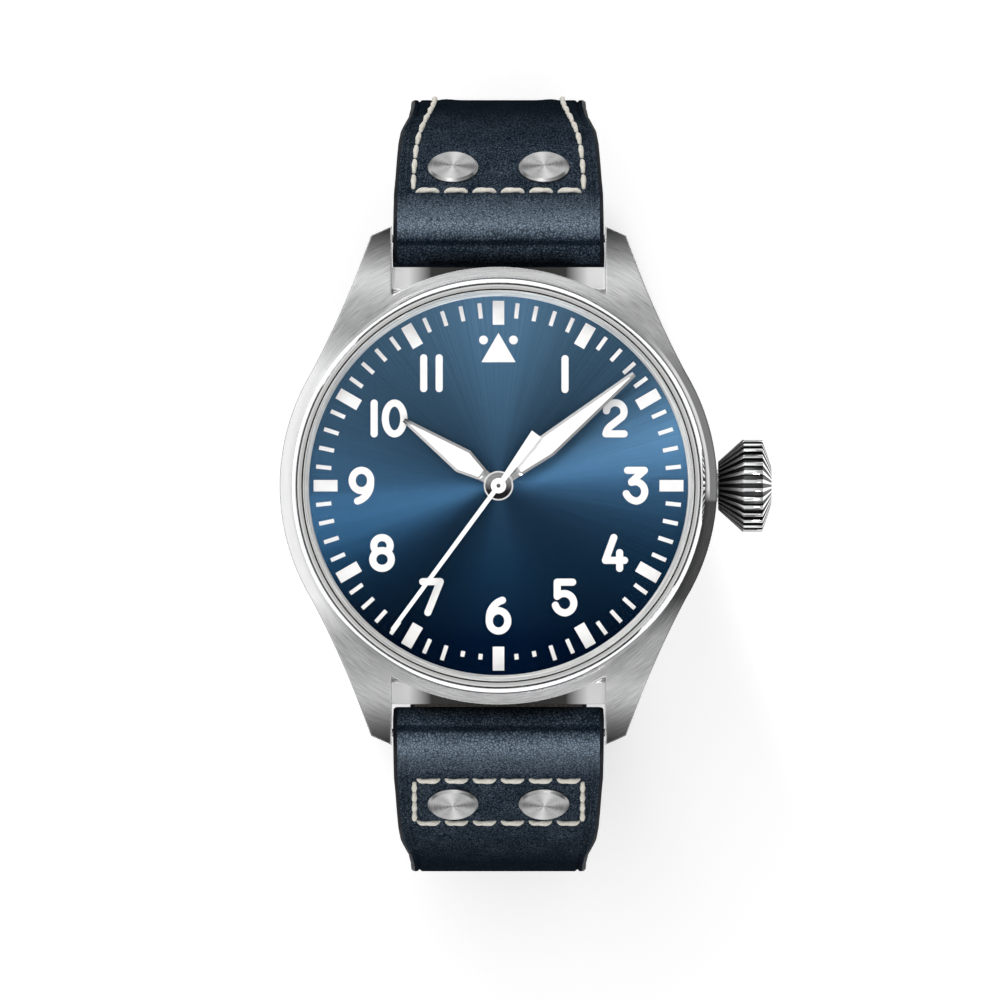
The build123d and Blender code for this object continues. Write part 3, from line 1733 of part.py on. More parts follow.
hour_hand_sizes = (
    hour_hand_angle,
    hour_hand_low,
    hour_hub_radius,
    hour_hand_wide_at,
    hour_hand_width,
    hour_hand_length,
    hour_hand_tip,
    hour_lume_start,
)
minute_hand_sizes = (
    minute_hand_angle,
    minute_hand_low,
    minute_hub_radius,
    minute_hand_wide_at,
    minute_hand_width,
    minute_hand_length,
    minute_hand_tip,
    minute_lume_start,
)

with BuildPart() as hour_hand:
    loft([hand_section(*section) for section in hand_blade(*hour_hand_sizes)], ruled=True)
    disc(dial_centre, hour_hand_low, hour_hand_low + hand_thickness, hour_hub_radius)
    disc(
        dial_centre,
        hour_hand_low,
        hour_hand_low + hand_thickness,
        hour_tube_radius,
        Mode.SUBTRACT,
    )
    extrude(inlay(*hour_hand_sizes), amount=hand_thickness, mode=Mode.SUBTRACT)

hour_hand.part.label = "hour_hand"
export_step(hour_hand.part, "parts/hour_hand.step")

lume_thickness = hand_thickness - hand_edge_height + lume_proud

with BuildPart() as hour_hand_lume:
    extrude(inlay(*hour_hand_sizes), amount=lume_thickness)

hour_hand_lume.part.label = "hour_hand_lume"
export_step(hour_hand_lume.part, "parts/hour_hand_lume.step")

with BuildPart() as minute_hand:
    loft([hand_section(*section) for section in hand_blade(*minute_hand_sizes)], ruled=True)
    disc(dial_centre, minute_hand_low, minute_hand_low + hand_thickness, minute_hub_radius)
    disc(
        dial_centre,
        minute_hand_low,
        minute_hand_low + hand_thickness,
        cannon_tube_radius,
        Mode.SUBTRACT,
    )
    extrude(inlay(*minute_hand_sizes), amount=hand_thickness, mode=Mode.SUBTRACT)

minute_hand.part.label = "minute_hand"
export_step(minute_hand.part, "parts/minute_hand.step")

with BuildPart() as minute_hand_lume:
    extrude(inlay(*minute_hand_sizes), amount=lume_thickness)

minute_hand_lume.part.label = "minute_hand_lume"
export_step(minute_hand_lume.part, "parts/minute_hand_lume.step")

with BuildPart() as seconds_hand:
    with BuildSketch(hand_plane(seconds_hand_angle, seconds_hand_low)):
        Circle(seconds_hub_radius)
        Polygon(
            (-seconds_hand_width / 2, 0),
            (seconds_hand_width / 2, 0),
            (seconds_tip_width / 2, seconds_hand_length),
            (-seconds_tip_width / 2, seconds_hand_length),
            align=None,
        )
        Polygon(
            (-seconds_tail_root_width / 2, -seconds_tail_start),
            (seconds_tail_root_width / 2, -seconds_tail_start),
            (seconds_tail_width / 2, -seconds_tail_length),
            (-seconds_tail_width / 2, -seconds_tail_length),
            align=None,
        )
        Circle(arbor_radius, mode=Mode.SUBTRACT)
    extrude(amount=seconds_thickness)

seconds_hand.part.label = "seconds_hand"
export_step(seconds_hand.part, "parts/seconds_hand.step")

# Spring bars: a tube at each end of the case, with a sprung pin in each of its ends

tube_end_wall = bar_collar_gap - fit_gap


def bar_length(side_y, start, end, radius, mode=Mode.ADD):
    """A round length along a spring bar's axis, between two distances across."""
    with BuildSketch(Plane.YZ.offset(start)) as outline:
        with Locations((side_y, bar_z)):
            Circle(radius)
    extrude(outline.sketch, amount=end - start, mode=mode)


with BuildPart() as spring_bar_tubes:
    for side_y in (-bar_y, bar_y):
        bore_end = bar_tube_half_length - tube_end_wall
        bar_length(side_y, -bar_tube_half_length, bar_tube_half_length, bar_tube_radius)
        bar_length(side_y, -bore_end, bore_end, bar_collar_radius + fit_gap, Mode.SUBTRACT)
        bar_length(
            side_y,
            -bar_tube_half_length,
            bar_tube_half_length,
            bar_pin_radius + fit_gap,
            Mode.SUBTRACT,
        )

spring_bar_tubes.part.label = "spring_bar_tubes"
export_step(spring_bar_tubes.part, "parts/spring_bar_tubes.step")


def bar_pin(side_x, side_y):
    """A spring bar's pin with its collar; the signs say which one."""
    collar_end = bar_tube_half_length - bar_collar_gap
    bar_length(
        side_y * bar_y,
        side_x * (bar_tube_half_length - bar_pin_engagement),
        side_x * (lug_gap / 2 + bar_pin_reach),
        bar_pin_radius,
    )
    bar_length(
        side_y * bar_y,
        side_x * (collar_end - bar_collar_length),
        side_x * collar_end,
        bar_collar_radius,
    )


with BuildPart() as upper_pin_left:
    bar_pin(-1, 1)

upper_pin_left.part.label = "upper_pin_left"
export_step(upper_pin_left.part, "parts/upper_pin_left.step")

with BuildPart() as upper_pin_right:
    bar_pin(1, 1)

upper_pin_right.part.label = "upper_pin_right"
export_step(upper_pin_right.part, "parts/upper_pin_right.step")

with BuildPart() as lower_pin_left:
    bar_pin(-1, -1)

lower_pin_left.part.label = "lower_pin_left"
export_step(lower_pin_left.part, "parts/lower_pin_left.step")

with BuildPart() as lower_pin_right:
    bar_pin(1, -1)

lower_pin_right.part.label = "lower_pin_right"
export_step(lower_pin_right.part, "parts/lower_pin_right.step")

# Strap. A tilt is the angle of the strap's outer face, from upright at the dial to level at the
# sides and facing down at the bottom.

centre_from_bar = (side_radius - strap_roll_radius) / cos(radians(side_lean))
side_centre_y = bar_y - sqrt(centre_from_bar**2 - side_drop**2)
side_centre = Vector(side_centre_y, corner_radius)
bar_centre = Vector(bar_y, bar_z)
side_inner_radius = side_radius - strap_pad_thickness
widest_y = side_centre_y + side_radius
buckle_corner_centre = Vector(widest_y - buckle_corner_radius, corner_radius)
buckle_turn_tilt = 180 + buckle_end_tilt
bar_tilt = degrees(atan2(bar_y - side_centre_y, side_drop))
inner_lean = degrees(acos((side_inner_radius + strap_roll_radius) / centre_from_bar))
outer_start_tilt = bar_tilt + side_lean
inner_start_tilt = bar_tilt + inner_lean


def facing(tilt, length=1):
    """The step of this length in the direction that the strap faces at this tilt."""
    return Vector(length * sin(radians(tilt)), length * cos(radians(tilt)))


def strap_arc(centre, radius, start_tilt, end_tilt):
    """An arc of the strap's side view between two tilts."""
    ThreePointArc(
        centre + facing(start_tilt, radius),
        centre + facing((start_tilt + end_tilt) / 2, radius),
        centre + facing(end_tilt, radius),
    )


def strap_profile(plane, bend_radius, end_tilt, run):
    """Side view of a strap half, from its spring bar to its rounded end."""
    bend_centre = Vector(widest_y - bend_radius, corner_radius)
    bend_inner = bend_radius - strap_thickness
    inner_side = Vector(widest_y - strap_thickness, corner_radius)
    middle_thickness = strap_thickness + strap_mid_thickness_share * (
        strap_pad_thickness - strap_thickness
    )
    along = facing(end_tilt + 90, run)
    end_centre = bend_centre + facing(end_tilt, (bend_radius + bend_inner) / 2) + along
    with BuildSketch(plane) as outline:
        with BuildLine():
            Line(
                bar_centre + facing(outer_start_tilt, strap_roll_radius),
                side_centre + facing(outer_start_tilt, side_radius),
            )
            strap_arc(side_centre, side_radius, outer_start_tilt, 90)
            strap_arc(bend_centre, bend_radius, 90, end_tilt)
            Line(
                bend_centre + facing(end_tilt, bend_radius),
                bend_centre + facing(end_tilt, bend_radius) + along,
            )
            strap_arc(end_centre, strap_thickness / 2, end_tilt, end_tilt + 180)
            Line(
                bend_centre + facing(end_tilt, bend_inner) + along,
                bend_centre + facing(end_tilt, bend_inner),
            )
            strap_arc(bend_centre, bend_inner, end_tilt, 90)
            ThreePointArc(
                inner_side,
                side_centre + facing((inner_start_tilt + 90) / 2, side_radius - middle_thickness),
                side_centre + facing(inner_start_tilt, side_inner_radius),
            )
            Line(
                side_centre + facing(inner_start_tilt, side_inner_radius),
                bar_centre - facing(inner_start_tilt, strap_roll_radius),
            )
            strap_arc(bar_centre, strap_roll_radius, inner_start_tilt - 180, outer_start_tilt)
        make_face()
    return outline.sketch


shoulder_high_z = (side_centre + facing(shoulder_high_tilt, side_radius)).Y
shoulder_low_z = (side_centre + facing(shoulder_low_tilt, side_radius)).Y
strap_top_z = bar_z + strap_roll_radius + overrun

with BuildSketch(Plane.XZ) as strap_front:
    Polygon(
        (-strap_width / 2, strap_top_z),
        (-strap_width / 2, shoulder_high_z),
        (-strap_narrow_width / 2, shoulder_low_z),
        (-strap_narrow_width / 2, -overrun),
        (strap_narrow_width / 2, -overrun),
        (strap_narrow_width / 2, shoulder_low_z),
        (strap_width / 2, shoulder_high_z),
        (strap_width / 2, strap_top_z),
        align=None,
    )


def rivet_plane(side_x, side_y):
    """The plane on the strap's outer face at a rivet; the signs say which one."""
    place = side_centre + facing(rivet_tilt, side_radius)
    direction = facing(rivet_tilt)
    return Plane(
        origin=(side_x * rivet_x, side_y * place.X, place.Y),
        x_dir=(1, 0, 0),
        z_dir=(0, side_y * direction.X, direction.Y),
    )


def rivet_holes(side_y):
    """Seats and holes of a strap half's two rivets."""
    for side_x in (-1, 1):
        seat = rivet_plane(side_x, side_y)
        with BuildSketch(seat.offset(-rivet_seat)) as head:
            Circle(rivet_radius)
        extrude(head.sketch, amount=rivet_seat + rivet_height, mode=Mode.SUBTRACT)
        with BuildSketch(seat.offset(-rivet_shank_length)) as shank:
            Circle(rivet_shank_radius)
        extrude(shank.sketch, amount=rivet_shank_length, mode=Mode.SUBTRACT)


def rivet(side_x, side_y):
    """A rivet with a bevelled head and its shank."""
    seat = rivet_plane(side_x, side_y)
    with BuildSketch(seat.offset(-rivet_seat)) as head:
        Circle(rivet_radius)
    extrude(head.sketch, amount=rivet_seat + rivet_height - rivet_bevel)
    with BuildSketch(seat.offset(rivet_height - rivet_bevel)) as face:
        Circle(rivet_radius)
    extrude(face.sketch, amount=rivet_bevel, taper=rivet_bevel_angle)
    with BuildSketch(seat.offset(-rivet_shank_length)) as shank:
        Circle(rivet_shank_radius)
    extrude(shank.sketch, amount=rivet_shank_length - rivet_seat)


strap_bore_radius = bar_tube_radius + strap_bar_clearance
buckle_run_end = facing(buckle_turn_tilt + 90, buckle_run)
buckle_middle = buckle_corner_radius - strap_thickness / 2
buckle_centre = buckle_corner_centre + facing(buckle_turn_tilt, buckle_middle) + buckle_run_end
buckle_face = facing(buckle_turn_tilt)
buckle_along = facing(buckle_turn_tilt + 90)
# X across the strap, Y on from the strap's end, Z away from the wrist
buckle_plane = Plane(
    origin=(0, buckle_centre.X, buckle_centre.Y),
    x_dir=(1, 0, 0),
    z_dir=(0, buckle_face.X, buckle_face.Y),
)

with BuildPart() as strap_buckle_half:
    profile = strap_profile(Plane.YZ, buckle_corner_radius, buckle_turn_tilt, buckle_run)
    extrude(profile, amount=strap_width / 2, both=True)
    extrude(strap_front.sketch, amount=widest_y + overrun, both=True, mode=Mode.INTERSECT)
    bar_length(bar_y, -strap_width / 2, strap_width / 2, strap_bore_radius, Mode.SUBTRACT)
    rivet_holes(1)
    # Hole of the buckle's bar and the slot of its tang
    with BuildSketch(Plane.YZ):
        with Locations(buckle_centre):
            Circle(buckle_bar_radius)
    extrude(amount=strap_width / 2, both=True, mode=Mode.SUBTRACT)
    with BuildSketch(buckle_plane):
        with Locations((0, strap_thickness)):
            Rectangle(
                tang_width + 2 * tang_slot_gap,
                tang_slot_length,
                align=(Align.CENTER, Align.MAX),
            )
    extrude(amount=strap_thickness, both=True, mode=Mode.SUBTRACT)

strap_buckle_half.part.label = "strap_buckle_half"
export_step(strap_buckle_half.part, "parts/strap_buckle_half.step")

tail_run = tail_flat_end_y + widest_y - corner_radius - strap_thickness / 2

with BuildPart() as strap_long_half:
    profile = strap_profile(Plane.YZ, corner_radius, 180, tail_run)
    extrude(profile, amount=strap_width / 2, both=True)
    extrude(strap_front.sketch, amount=widest_y + overrun, both=True, mode=Mode.INTERSECT)
    # The tail's end narrows in a curve
    with BuildSketch():
        with BuildLine():
            taper_y = tail_tip_length - tail_flat_end_y
            Polyline(
                (-strap_narrow_width / 2, taper_y),
                (-strap_width / 2, taper_y),
                (-strap_width / 2, widest_y + overrun),
                (strap_width / 2, widest_y + overrun),
                (strap_width / 2, taper_y),
                (strap_narrow_width / 2, taper_y),
            )
            TangentArc(
                (strap_narrow_width / 2, taper_y),
                (tail_tip_width / 2, -tail_flat_end_y),
                tangent=(0, -1),
            )
            Line((tail_tip_width / 2, -tail_flat_end_y), (-tail_tip_width / 2, -tail_flat_end_y))
            TangentArc(
                (-strap_narrow_width / 2, taper_y),
                (-tail_tip_width / 2, -tail_flat_end_y),
                tangent=(0, -1),
            )
        make_face()
    extrude(amount=strap_top_z, mode=Mode.INTERSECT)
    bar_length(bar_y, -strap_width / 2, strap_width / 2, strap_bore_radius, Mode.SUBTRACT)
    rivet_holes(1)
    with BuildSketch():
        for hole in range(hole_count):
            with Locations((0, hole * hole_pitch - hole_last_y)):
                Circle(hole_radius)
    extrude(amount=strap_thickness, mode=Mode.SUBTRACT)
    mirror(about=Plane.XZ, mode=Mode.REPLACE)

strap_long_half.part.label = "strap_long_half"
export_step(strap_long_half.part, "parts/strap_long_half.step")

with BuildPart() as upper_rivets:
    for side_x in (-1, 1):
        rivet(side_x, 1)

upper_rivets.part.label = "upper_rivets"
export_step(upper_rivets.part, "parts/upper_rivets.step")

with BuildPart() as lower_rivets:
    for side_x in (-1, 1):
        rivet(side_x, -1)

lower_rivets.part.label = "lower_rivets"
export_step(lower_rivets.part, "parts/lower_rivets.step")

# Buckle

frame_inner = strap_narrow_width / 2 + buckle_side_gap
frame_outer = frame_inner + buckle_arm_width
frame_front = buckle_frame_length - buckle_front_width
frame_half = buckle_frame_thickness / 2
bar_end = frame_inner + buckle_pin_engagement
tang_low = tang_barrel_radius - tang_thickness

with BuildPart() as buckle_frame:
    with BuildSketch(buckle_plane.offset(-frame_half)):
        with BuildLine():
            Polyline(
                (-frame_outer + buckle_corner, buckle_frame_length),
                (frame_outer - buckle_corner, buckle_frame_length),
            )
            TangentArc(
                (frame_outer - buckle_corner, buckle_frame_length),
                (frame_outer, buckle_frame_length - buckle_corner),
                tangent=(1, 0),
            )
            Polyline(
                (frame_outer, buckle_frame_length - buckle_corner),
                (frame_outer, -buckle_frame_back),
                (frame_inner, -buckle_frame_back),
                (frame_inner, frame_front),
                (-frame_inner, frame_front),
                (-frame_inner, -buckle_frame_back),
                (-frame_outer, -buckle_frame_back),
                (-frame_outer, buckle_frame_length - buckle_corner),
            )
            TangentArc(
                (-frame_outer + buckle_corner, buckle_frame_length),
                (-frame_outer, buckle_frame_length - buckle_corner),
                tangent=(-1, 0),
            )
        make_face()
    extrude(amount=buckle_frame_thickness)
    fillet(buckle_frame.edges(), radius=buckle_edge_bevel)
    # Dent that the tang rests in
    with BuildSketch(buckle_plane.offset(tang_low - soft_gap)):
        with Locations((0, frame_front)):
            Rectangle(
                tang_width + 2 * tang_slot_gap,
                buckle_front_width,
                align=(Align.CENTER, Align.MIN),
            )
    extrude(amount=buckle_frame_thickness, mode=Mode.SUBTRACT)
    with BuildSketch(Plane.YZ):
        with Locations(buckle_centre):
            Circle(buckle_bar_radius + fit_gap)
    extrude(amount=bar_end + fit_gap, both=True, mode=Mode.SUBTRACT)

buckle_frame.part.label = "buckle_frame"
export_step(buckle_frame.part, "parts/buckle_frame.step")

with BuildPart() as buckle_bar:
    with BuildSketch(Plane.YZ):
        with Locations(buckle_centre):
            Circle(buckle_bar_radius)
    extrude(amount=bar_end, both=True)

buckle_bar.part.label = "buckle_bar"
export_step(buckle_bar.part, "parts/buckle_bar.step")

tang_tip = frame_front + tang_reach

with BuildPart() as buckle_tang:
    with BuildSketch(buckle_plane.offset(tang_low)):
        Polygon(
            (-tang_width / 2, 0),
            (tang_width / 2, 0),
            (tang_tip_width / 2, tang_tip),
            (-tang_tip_width / 2, tang_tip),
            align=None,
        )
    extrude(amount=tang_thickness)
    with BuildSketch(Plane.YZ):
        with Locations(buckle_centre):
            Circle(tang_barrel_radius)
    extrude(amount=tang_width / 2, both=True)
    with BuildSketch(Plane.YZ):
        with Locations(buckle_centre):
            Circle(buckle_bar_radius + fit_gap)
    extrude(amount=tang_width / 2, both=True, mode=Mode.SUBTRACT)

buckle_tang.part.label = "buckle_tang"
export_step(buckle_tang.part, "parts/buckle_tang.step")

# Keepers: leather loops with room for the tail on the strap's outer side


def keeper_ring(gap):
    """Cross-section of a keeper, with the strap's middle on its X axis and the wrist at +Y."""
    room = strap_thickness + tail_room_gap
    low = -strap_thickness / 2 - room
    high = strap_thickness / 2 + gap
    half_width = strap_narrow_width / 2 + keeper_gap
    with Locations((0, (low + high) / 2)):
        RectangleRounded(
            2 * (half_width + keeper_wall),
            high - low + 2 * keeper_wall,
            keeper_corner,
        )
        Rectangle(2 * half_width, high - low, mode=Mode.SUBTRACT)


fixed_keeper_start = buckle_centre - buckle_along * (fixed_keeper_from_bar + keeper_length)

with BuildPart() as fixed_keeper:
    with BuildSketch(
        Plane(
            origin=(0, fixed_keeper_start.X, fixed_keeper_start.Y),
            x_dir=(1, 0, 0),
            z_dir=(0, buckle_along.X, buckle_along.Y),
        )
    ) as ring:
        keeper_ring(0)
    extrude(amount=keeper_length)

fixed_keeper.part.label = "fixed_keeper"
export_step(fixed_keeper.part, "parts/fixed_keeper.step")

keeper_turn = degrees(keeper_length / buckle_corner_radius)
keeper_start_tilt = 180 + free_keeper_tilt + keeper_turn / 2
keeper_start = buckle_corner_centre + facing(keeper_start_tilt, buckle_middle)
keeper_along = facing(keeper_start_tilt + 90)
buckle_corner_axis = Axis((0, buckle_corner_centre.X, buckle_corner_centre.Y), (1, 0, 0))

with BuildPart() as free_keeper:
    with BuildSketch(
        Plane(
            origin=(0, keeper_start.X, keeper_start.Y),
            x_dir=(1, 0, 0),
            z_dir=(0, keeper_along.X, keeper_along.Y),
        )
    ):
        keeper_ring(keeper_gap)
    revolve(axis=buckle_corner_axis, revolution_arc=keeper_turn)

free_keeper.part.label = "free_keeper"
export_step(free_keeper.part, "parts/free_keeper.step")
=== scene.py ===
import json
from math import cos, exp, floor, pi, radians, sin, sqrt

import bpy
from mathutils import Matrix, Vector


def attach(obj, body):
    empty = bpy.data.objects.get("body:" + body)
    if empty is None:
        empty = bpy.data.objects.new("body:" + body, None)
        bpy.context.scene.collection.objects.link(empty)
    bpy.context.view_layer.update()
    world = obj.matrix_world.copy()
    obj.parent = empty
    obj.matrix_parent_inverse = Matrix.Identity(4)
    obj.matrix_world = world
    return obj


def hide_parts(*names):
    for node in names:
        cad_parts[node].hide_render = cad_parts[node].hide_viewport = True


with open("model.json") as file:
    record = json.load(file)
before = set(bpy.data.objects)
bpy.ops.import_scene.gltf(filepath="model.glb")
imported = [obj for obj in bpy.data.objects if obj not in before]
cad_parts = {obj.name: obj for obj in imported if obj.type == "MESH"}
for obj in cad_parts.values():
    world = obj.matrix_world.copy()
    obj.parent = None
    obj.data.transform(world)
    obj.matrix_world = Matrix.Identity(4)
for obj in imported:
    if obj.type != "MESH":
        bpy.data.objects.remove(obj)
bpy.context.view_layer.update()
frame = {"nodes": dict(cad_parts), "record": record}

# Pilot watch on a riveted leather strap, lying with its dial up on the flat bottom of its strap.
# Metres, with the sizes named here in millimetres and turned to metres by MM.

MM = 0.001
nodes = frame["nodes"]

# Sizes that the leather shares with the solids, in millimetres. A table has pairs of a height and a
# half width, from the highest down.

bar_y = 24.35
bar_z = 49.0
roll_radius = 2.55
side_centre_y = 1.903
side_centre_z = 22.0
side_radius = 36.6
side_start_tilt = 53.88
corner_radius = 22.0
buckle_corner_radius = 14.4
buckle_end_tilt = 195.0
buckle_run = 17.0
tail_run = 48.6
tail_run_start = 16.5
tail_taper_y = 25.5
tail_end_y = 33.5
tail_end_half_width = 3.5
thick = 5.0
thin = 2.8
taper_even = 0.264
taper_growing = 1.936
fold_y = 23.9
strap_widths = (
    (52.0, 10.4), (47.0, 10.38), (45.0, 10.25), (39.6, 9.98), (37.0, 9.75), (35.0, 9.35), (33.0, 8.98),
    (29.0, 8.75), (22.0, 8.75), (14.0, 8.9), (0.0, 8.9),
)
side_rows = (
    (45.0, 8.4), (42.4, 8.26), (40.0, 8.1), (37.2, 7.75), (34.8, 7.3), (31.3, 6.7), (28.0, 6.4),
    (20.0, 6.35), (0.0, 6.35),
)
lower_row_x = 8.3
row_low = 4.8
row_high = 12.2
stitches_in_row = 6
side_pitch = 2.65
lower_side_stitches = 4
buckle_row = 3.3
stitch_ends = (0.03, 0.97)
row_clearance = 0.3
thread_radius = 0.25
stitch_lift = 0.14
stitch_dip = 0.35
buckle_bar_y = 4.3174
buckle_bar_z = 13.8429
slot_width = 2.8
slot_length = 4.5
slot_height = 8.0
slot_offset = 0.55
keeper_length = 5.0
keeper_wall = 1.3
keeper_half_width = 9.95
keeper_low = -4.95
keeper_high = 2.05
keeper_bend = 0.7
fixed_keeper_start = -9.6
free_keeper_tilt = 194.95
free_keeper_turn = 19.9
free_keeper_radius = 13.0
free_keeper_gap = 0.3
rivet_x = 4.5
rivet_y = 31.286
rivet_z = 43.822
rivet_slope = (0.8028, 0.5962)
hole_first_y = 22.25
hole_pitch = 6.5
hole_count = 6
hole_radius = 1.0
hole_drill = (-1.0, 4.0)
bar_bore_radius = 0.85
buckle_bore_radius = 0.8
bore_reach = 12.0


# Work on meshes

weld_reach = 0.004
sliver_reach = 0.001


def deselect():
    bpy.ops.object.select_all(action="DESELECT")


def pick(piece):
    """Makes this the one piece in hand."""
    deselect()
    piece.select_set(True)
    bpy.context.view_layer.objects.active = piece


def smooth_below(piece, degrees):
    """Shades a piece smooth, apart from edges that are sharper than this."""
    pick(piece)
    bpy.ops.object.shade_smooth_by_angle(angle=radians(degrees))


def dress(piece, *materials):
    """Gives a new piece its materials, in the order of its faces' slots."""
    for material in materials:
        piece.data.materials.append(material)


def wrapped_grid(name, columns, rows, place, paint):
    """A grid wrapped into a closed skin: place gives each corner's point, paint each face's slot."""
    deselect()
    bpy.ops.mesh.primitive_grid_add(x_subdivisions=columns, y_subdivisions=rows, size=1)
    piece = bpy.context.object
    piece.name = name
    piece.data.name = name
    for face in piece.data.polygons:
        column = floor((face.center.x + 0.5) * columns)
        row = floor((face.center.y + 0.5) * rows)
        face.material_index = paint(column, row)
    for vertex in piece.data.vertices:
        column = round((vertex.co.x + 0.5) * columns)
        row = round((vertex.co.y + 0.5) * rows)
        vertex.co = place(column, row)
    bpy.ops.object.mode_set(mode="EDIT")
    bpy.ops.mesh.select_all(action="SELECT")
    bpy.ops.mesh.remove_doubles(threshold=weld_reach * MM)
    bpy.ops.mesh.dissolve_degenerate(threshold=sliver_reach * MM)
    bpy.ops.mesh.normals_make_consistent(inside=False)
    bpy.ops.object.mode_set(mode="OBJECT")
    return piece


def joined(name, pieces):
    """One piece from several, as when they are sewn with one thread."""
    deselect()
    for piece in pieces:
        piece.select_set(True)
    bpy.context.view_layer.objects.active = pieces[0]
    bpy.ops.object.join()
    whole = bpy.context.object
    whole.name = name
    whole.data.name = name
    return whole


# Materials: nodes and patterns that several finishes share


def is_socket(value):
    return isinstance(value, bpy.types.NodeSocket)


def add(kind, inputs=None, tree=None, **settings):
    """A node, in the tree of the sockets that feed it. An input is a number, a colour or a socket."""
    inputs = inputs or {}
    tree = tree or next(value.id_data for value in inputs.values() if is_socket(value))
    made = tree.nodes.new("ShaderNode" + kind)
    for name, value in settings.items():
        setattr(made, name, value)
    for name, value in inputs.items():
        if is_socket(value):
            tree.links.new(value, made.inputs[name])
        else:
            made.inputs[name].default_value = value
    return made


def maths(operation, first, second=0.0, clamp=False):
    return add("Math", {0: first, 1: second}, operation=operation, use_clamp=clamp).outputs[0]


def product(value, *others):
    """Several values multiplied."""
    for other in others:
        value = maths("MULTIPLY", value, other)
    return value


def vectors(operation, first, second=(0, 0, 0)):
    made = add("VectorMath", {0: first, 1: second}, operation=operation)
    return made.outputs["Value" if operation in ("LENGTH", "DOT_PRODUCT") else "Vector"]


def scaled(vector, factor):
    return add("VectorMath", {0: vector, "Scale": factor}, operation="SCALE").outputs["Vector"]


def axes(vector):
    """The X, Y and Z of a vector."""
    return tuple(add("SeparateXYZ", {0: vector}).outputs)


def vector_of(x, y, z=0.0):
    return add("CombineXYZ", {0: x, 1: y, 2: z}).outputs[0]


def flat(place):
    """A place without its height."""
    return vectors("MULTIPLY", place, (1, 1, 0))


def from_axis(place):
    """How far a place is from the Z axis."""
    return vectors("LENGTH", flat(place))


def span(value, low, high, to_low=0.0, to_high=1.0):
    """The value moved from one range to another, clamped."""
    ranges = {0: value, 1: low, 2: high, 3: to_low, 4: to_high}
    return add("MapRange", ranges, clamp=True).outputs[0]


def span_mm(value, low, high, to_low=0.0, to_high=1.0):
    """The same for a length, whose range is in millimetres."""
    return span(value, low * MM, high * MM, to_low, to_high)


def spread(value, to_low=0.0, to_high=1.0):
    """The same for noise, which mostly keeps between 0.3 and 0.7."""
    return span(value, 0.3, 0.7, to_low, to_high)


def noise(place, scale=1.0, detail=3.0, roughness=0.5):
    """A noise node, whose first output is a value and whose second is a colour."""
    return add("TexNoise", {"Vector": place, "Scale": scale, "Detail": detail, "Roughness": roughness})


def grey(level):
    return level, level, level


def blend(share, first, second, kind="MIX"):
    first, second = (value if is_socket(value) else (*value, 1.0) for value in (first, second))
    return add("Mix", {0: share, 6: first, 7: second}, data_type="RGBA", blend_type=kind).outputs[2]


def colour_ramp(value, stops):
    """The colour at this value, from stops of a place and a colour."""
    made = add("ValToRGB", {0: value})
    elements = made.color_ramp.elements
    while len(elements) < len(stops):
        elements.new(0.5)
    for element, (at, colour) in zip(elements, stops):
        element.position = at
        element.color = (*colour, 1.0)
    return made.outputs[0]


def feed(node, label, socket):
    node.id_data.links.new(socket, node.inputs[label])


def pattern(name, numbers, outputs):
    """An empty node group with a vector, named numbers and named outputs."""
    tree = bpy.data.node_groups.new(name, "ShaderNodeTree")
    tree.interface.new_socket("Vector", in_out="INPUT", socket_type="NodeSocketVector")
    for label, value in numbers.items():
        socket = tree.interface.new_socket(label, in_out="INPUT", socket_type="NodeSocketFloat")
        socket.default_value = value
    for label in outputs:
        tree.interface.new_socket(label, in_out="OUTPUT", socket_type="NodeSocketFloat")
    return tree, tree.nodes.new("NodeGroupInput").outputs, tree.nodes.new("NodeGroupOutput")


def use(group, vector, **numbers):
    """A pattern placed in a material; returns its outputs."""
    return add("Group", {"Vector": vector, **numbers}, node_tree=group).outputs


def turned_place(given):
    """For fine rings about the Z axis, as a lathe or a circular brush leaves."""
    level = flat(given["Vector"])
    x, y, _ = axes(scaled(vectors("NORMALIZE", level), given["Smear"]))
    return vector_of(product(vectors("LENGTH", level), given["Lines"]), x, y)


def rayed_place(given):
    """For fine rays from the Z axis outward, as a sunburst brush leaves."""
    level = flat(given["Vector"])
    x, y, _ = axes(scaled(vectors("NORMALIZE", level), given["Rays"]))
    return vector_of(x, y, product(vectors("LENGTH", level), given["Smear"]))


def straight_place(given):
    """For fine straight lines along X."""
    x, y, z = axes(given["Vector"])
    across = [product(side, given["Lines"]) for side in (y, z)]
    return vector_of(product(x, given["Smear"]), *across)


def make_lines(name, numbers, line_place, roughness=0.65):
    """Fine lines: noise in a place that is drawn out along them."""
    tree, given, result = pattern(name, numbers, ["Lines"])
    feed(result, "Lines", noise(line_place(given), roughness=roughness).outputs[0])
    return tree


def make_cloudy():
    """Slow patches with fine specks, for handling marks and uneven colour."""
    numbers = {"Patches": 120.0, "Specks": 3500.0}
    tree, given, result = pattern("handling_marks", numbers, list(numbers))
    for label in numbers:
        feed(result, label, noise(given["Vector"], given[label], detail=2.0).outputs[0])
    return tree


def make_pebbled():
    """Pebbled leather: rounded cells with creases between them, and pores."""
    tree, given, result = pattern("leather_pebbles", {"Pebbles": 1500.0, "Pores": 5200.0}, ["Height"])
    bend = noise(given["Vector"], 700.0, detail=2.0)
    place = vectors("ADD", given["Vector"], scaled(bend.outputs["Color"], 0.9 * MM))
    cells = add("TexVoronoi", {"Vector": place, "Scale": given["Pebbles"]}, feature="DISTANCE_TO_EDGE")
    crease = span(cells.outputs["Distance"], 0.0, 0.22, 1.0, 0.0)
    pores = noise(place, given["Pores"]).outputs[0]
    feed(result, "Height", maths("SUBTRACT", product(pores, 0.5), product(crease, 0.6)))
    return tree


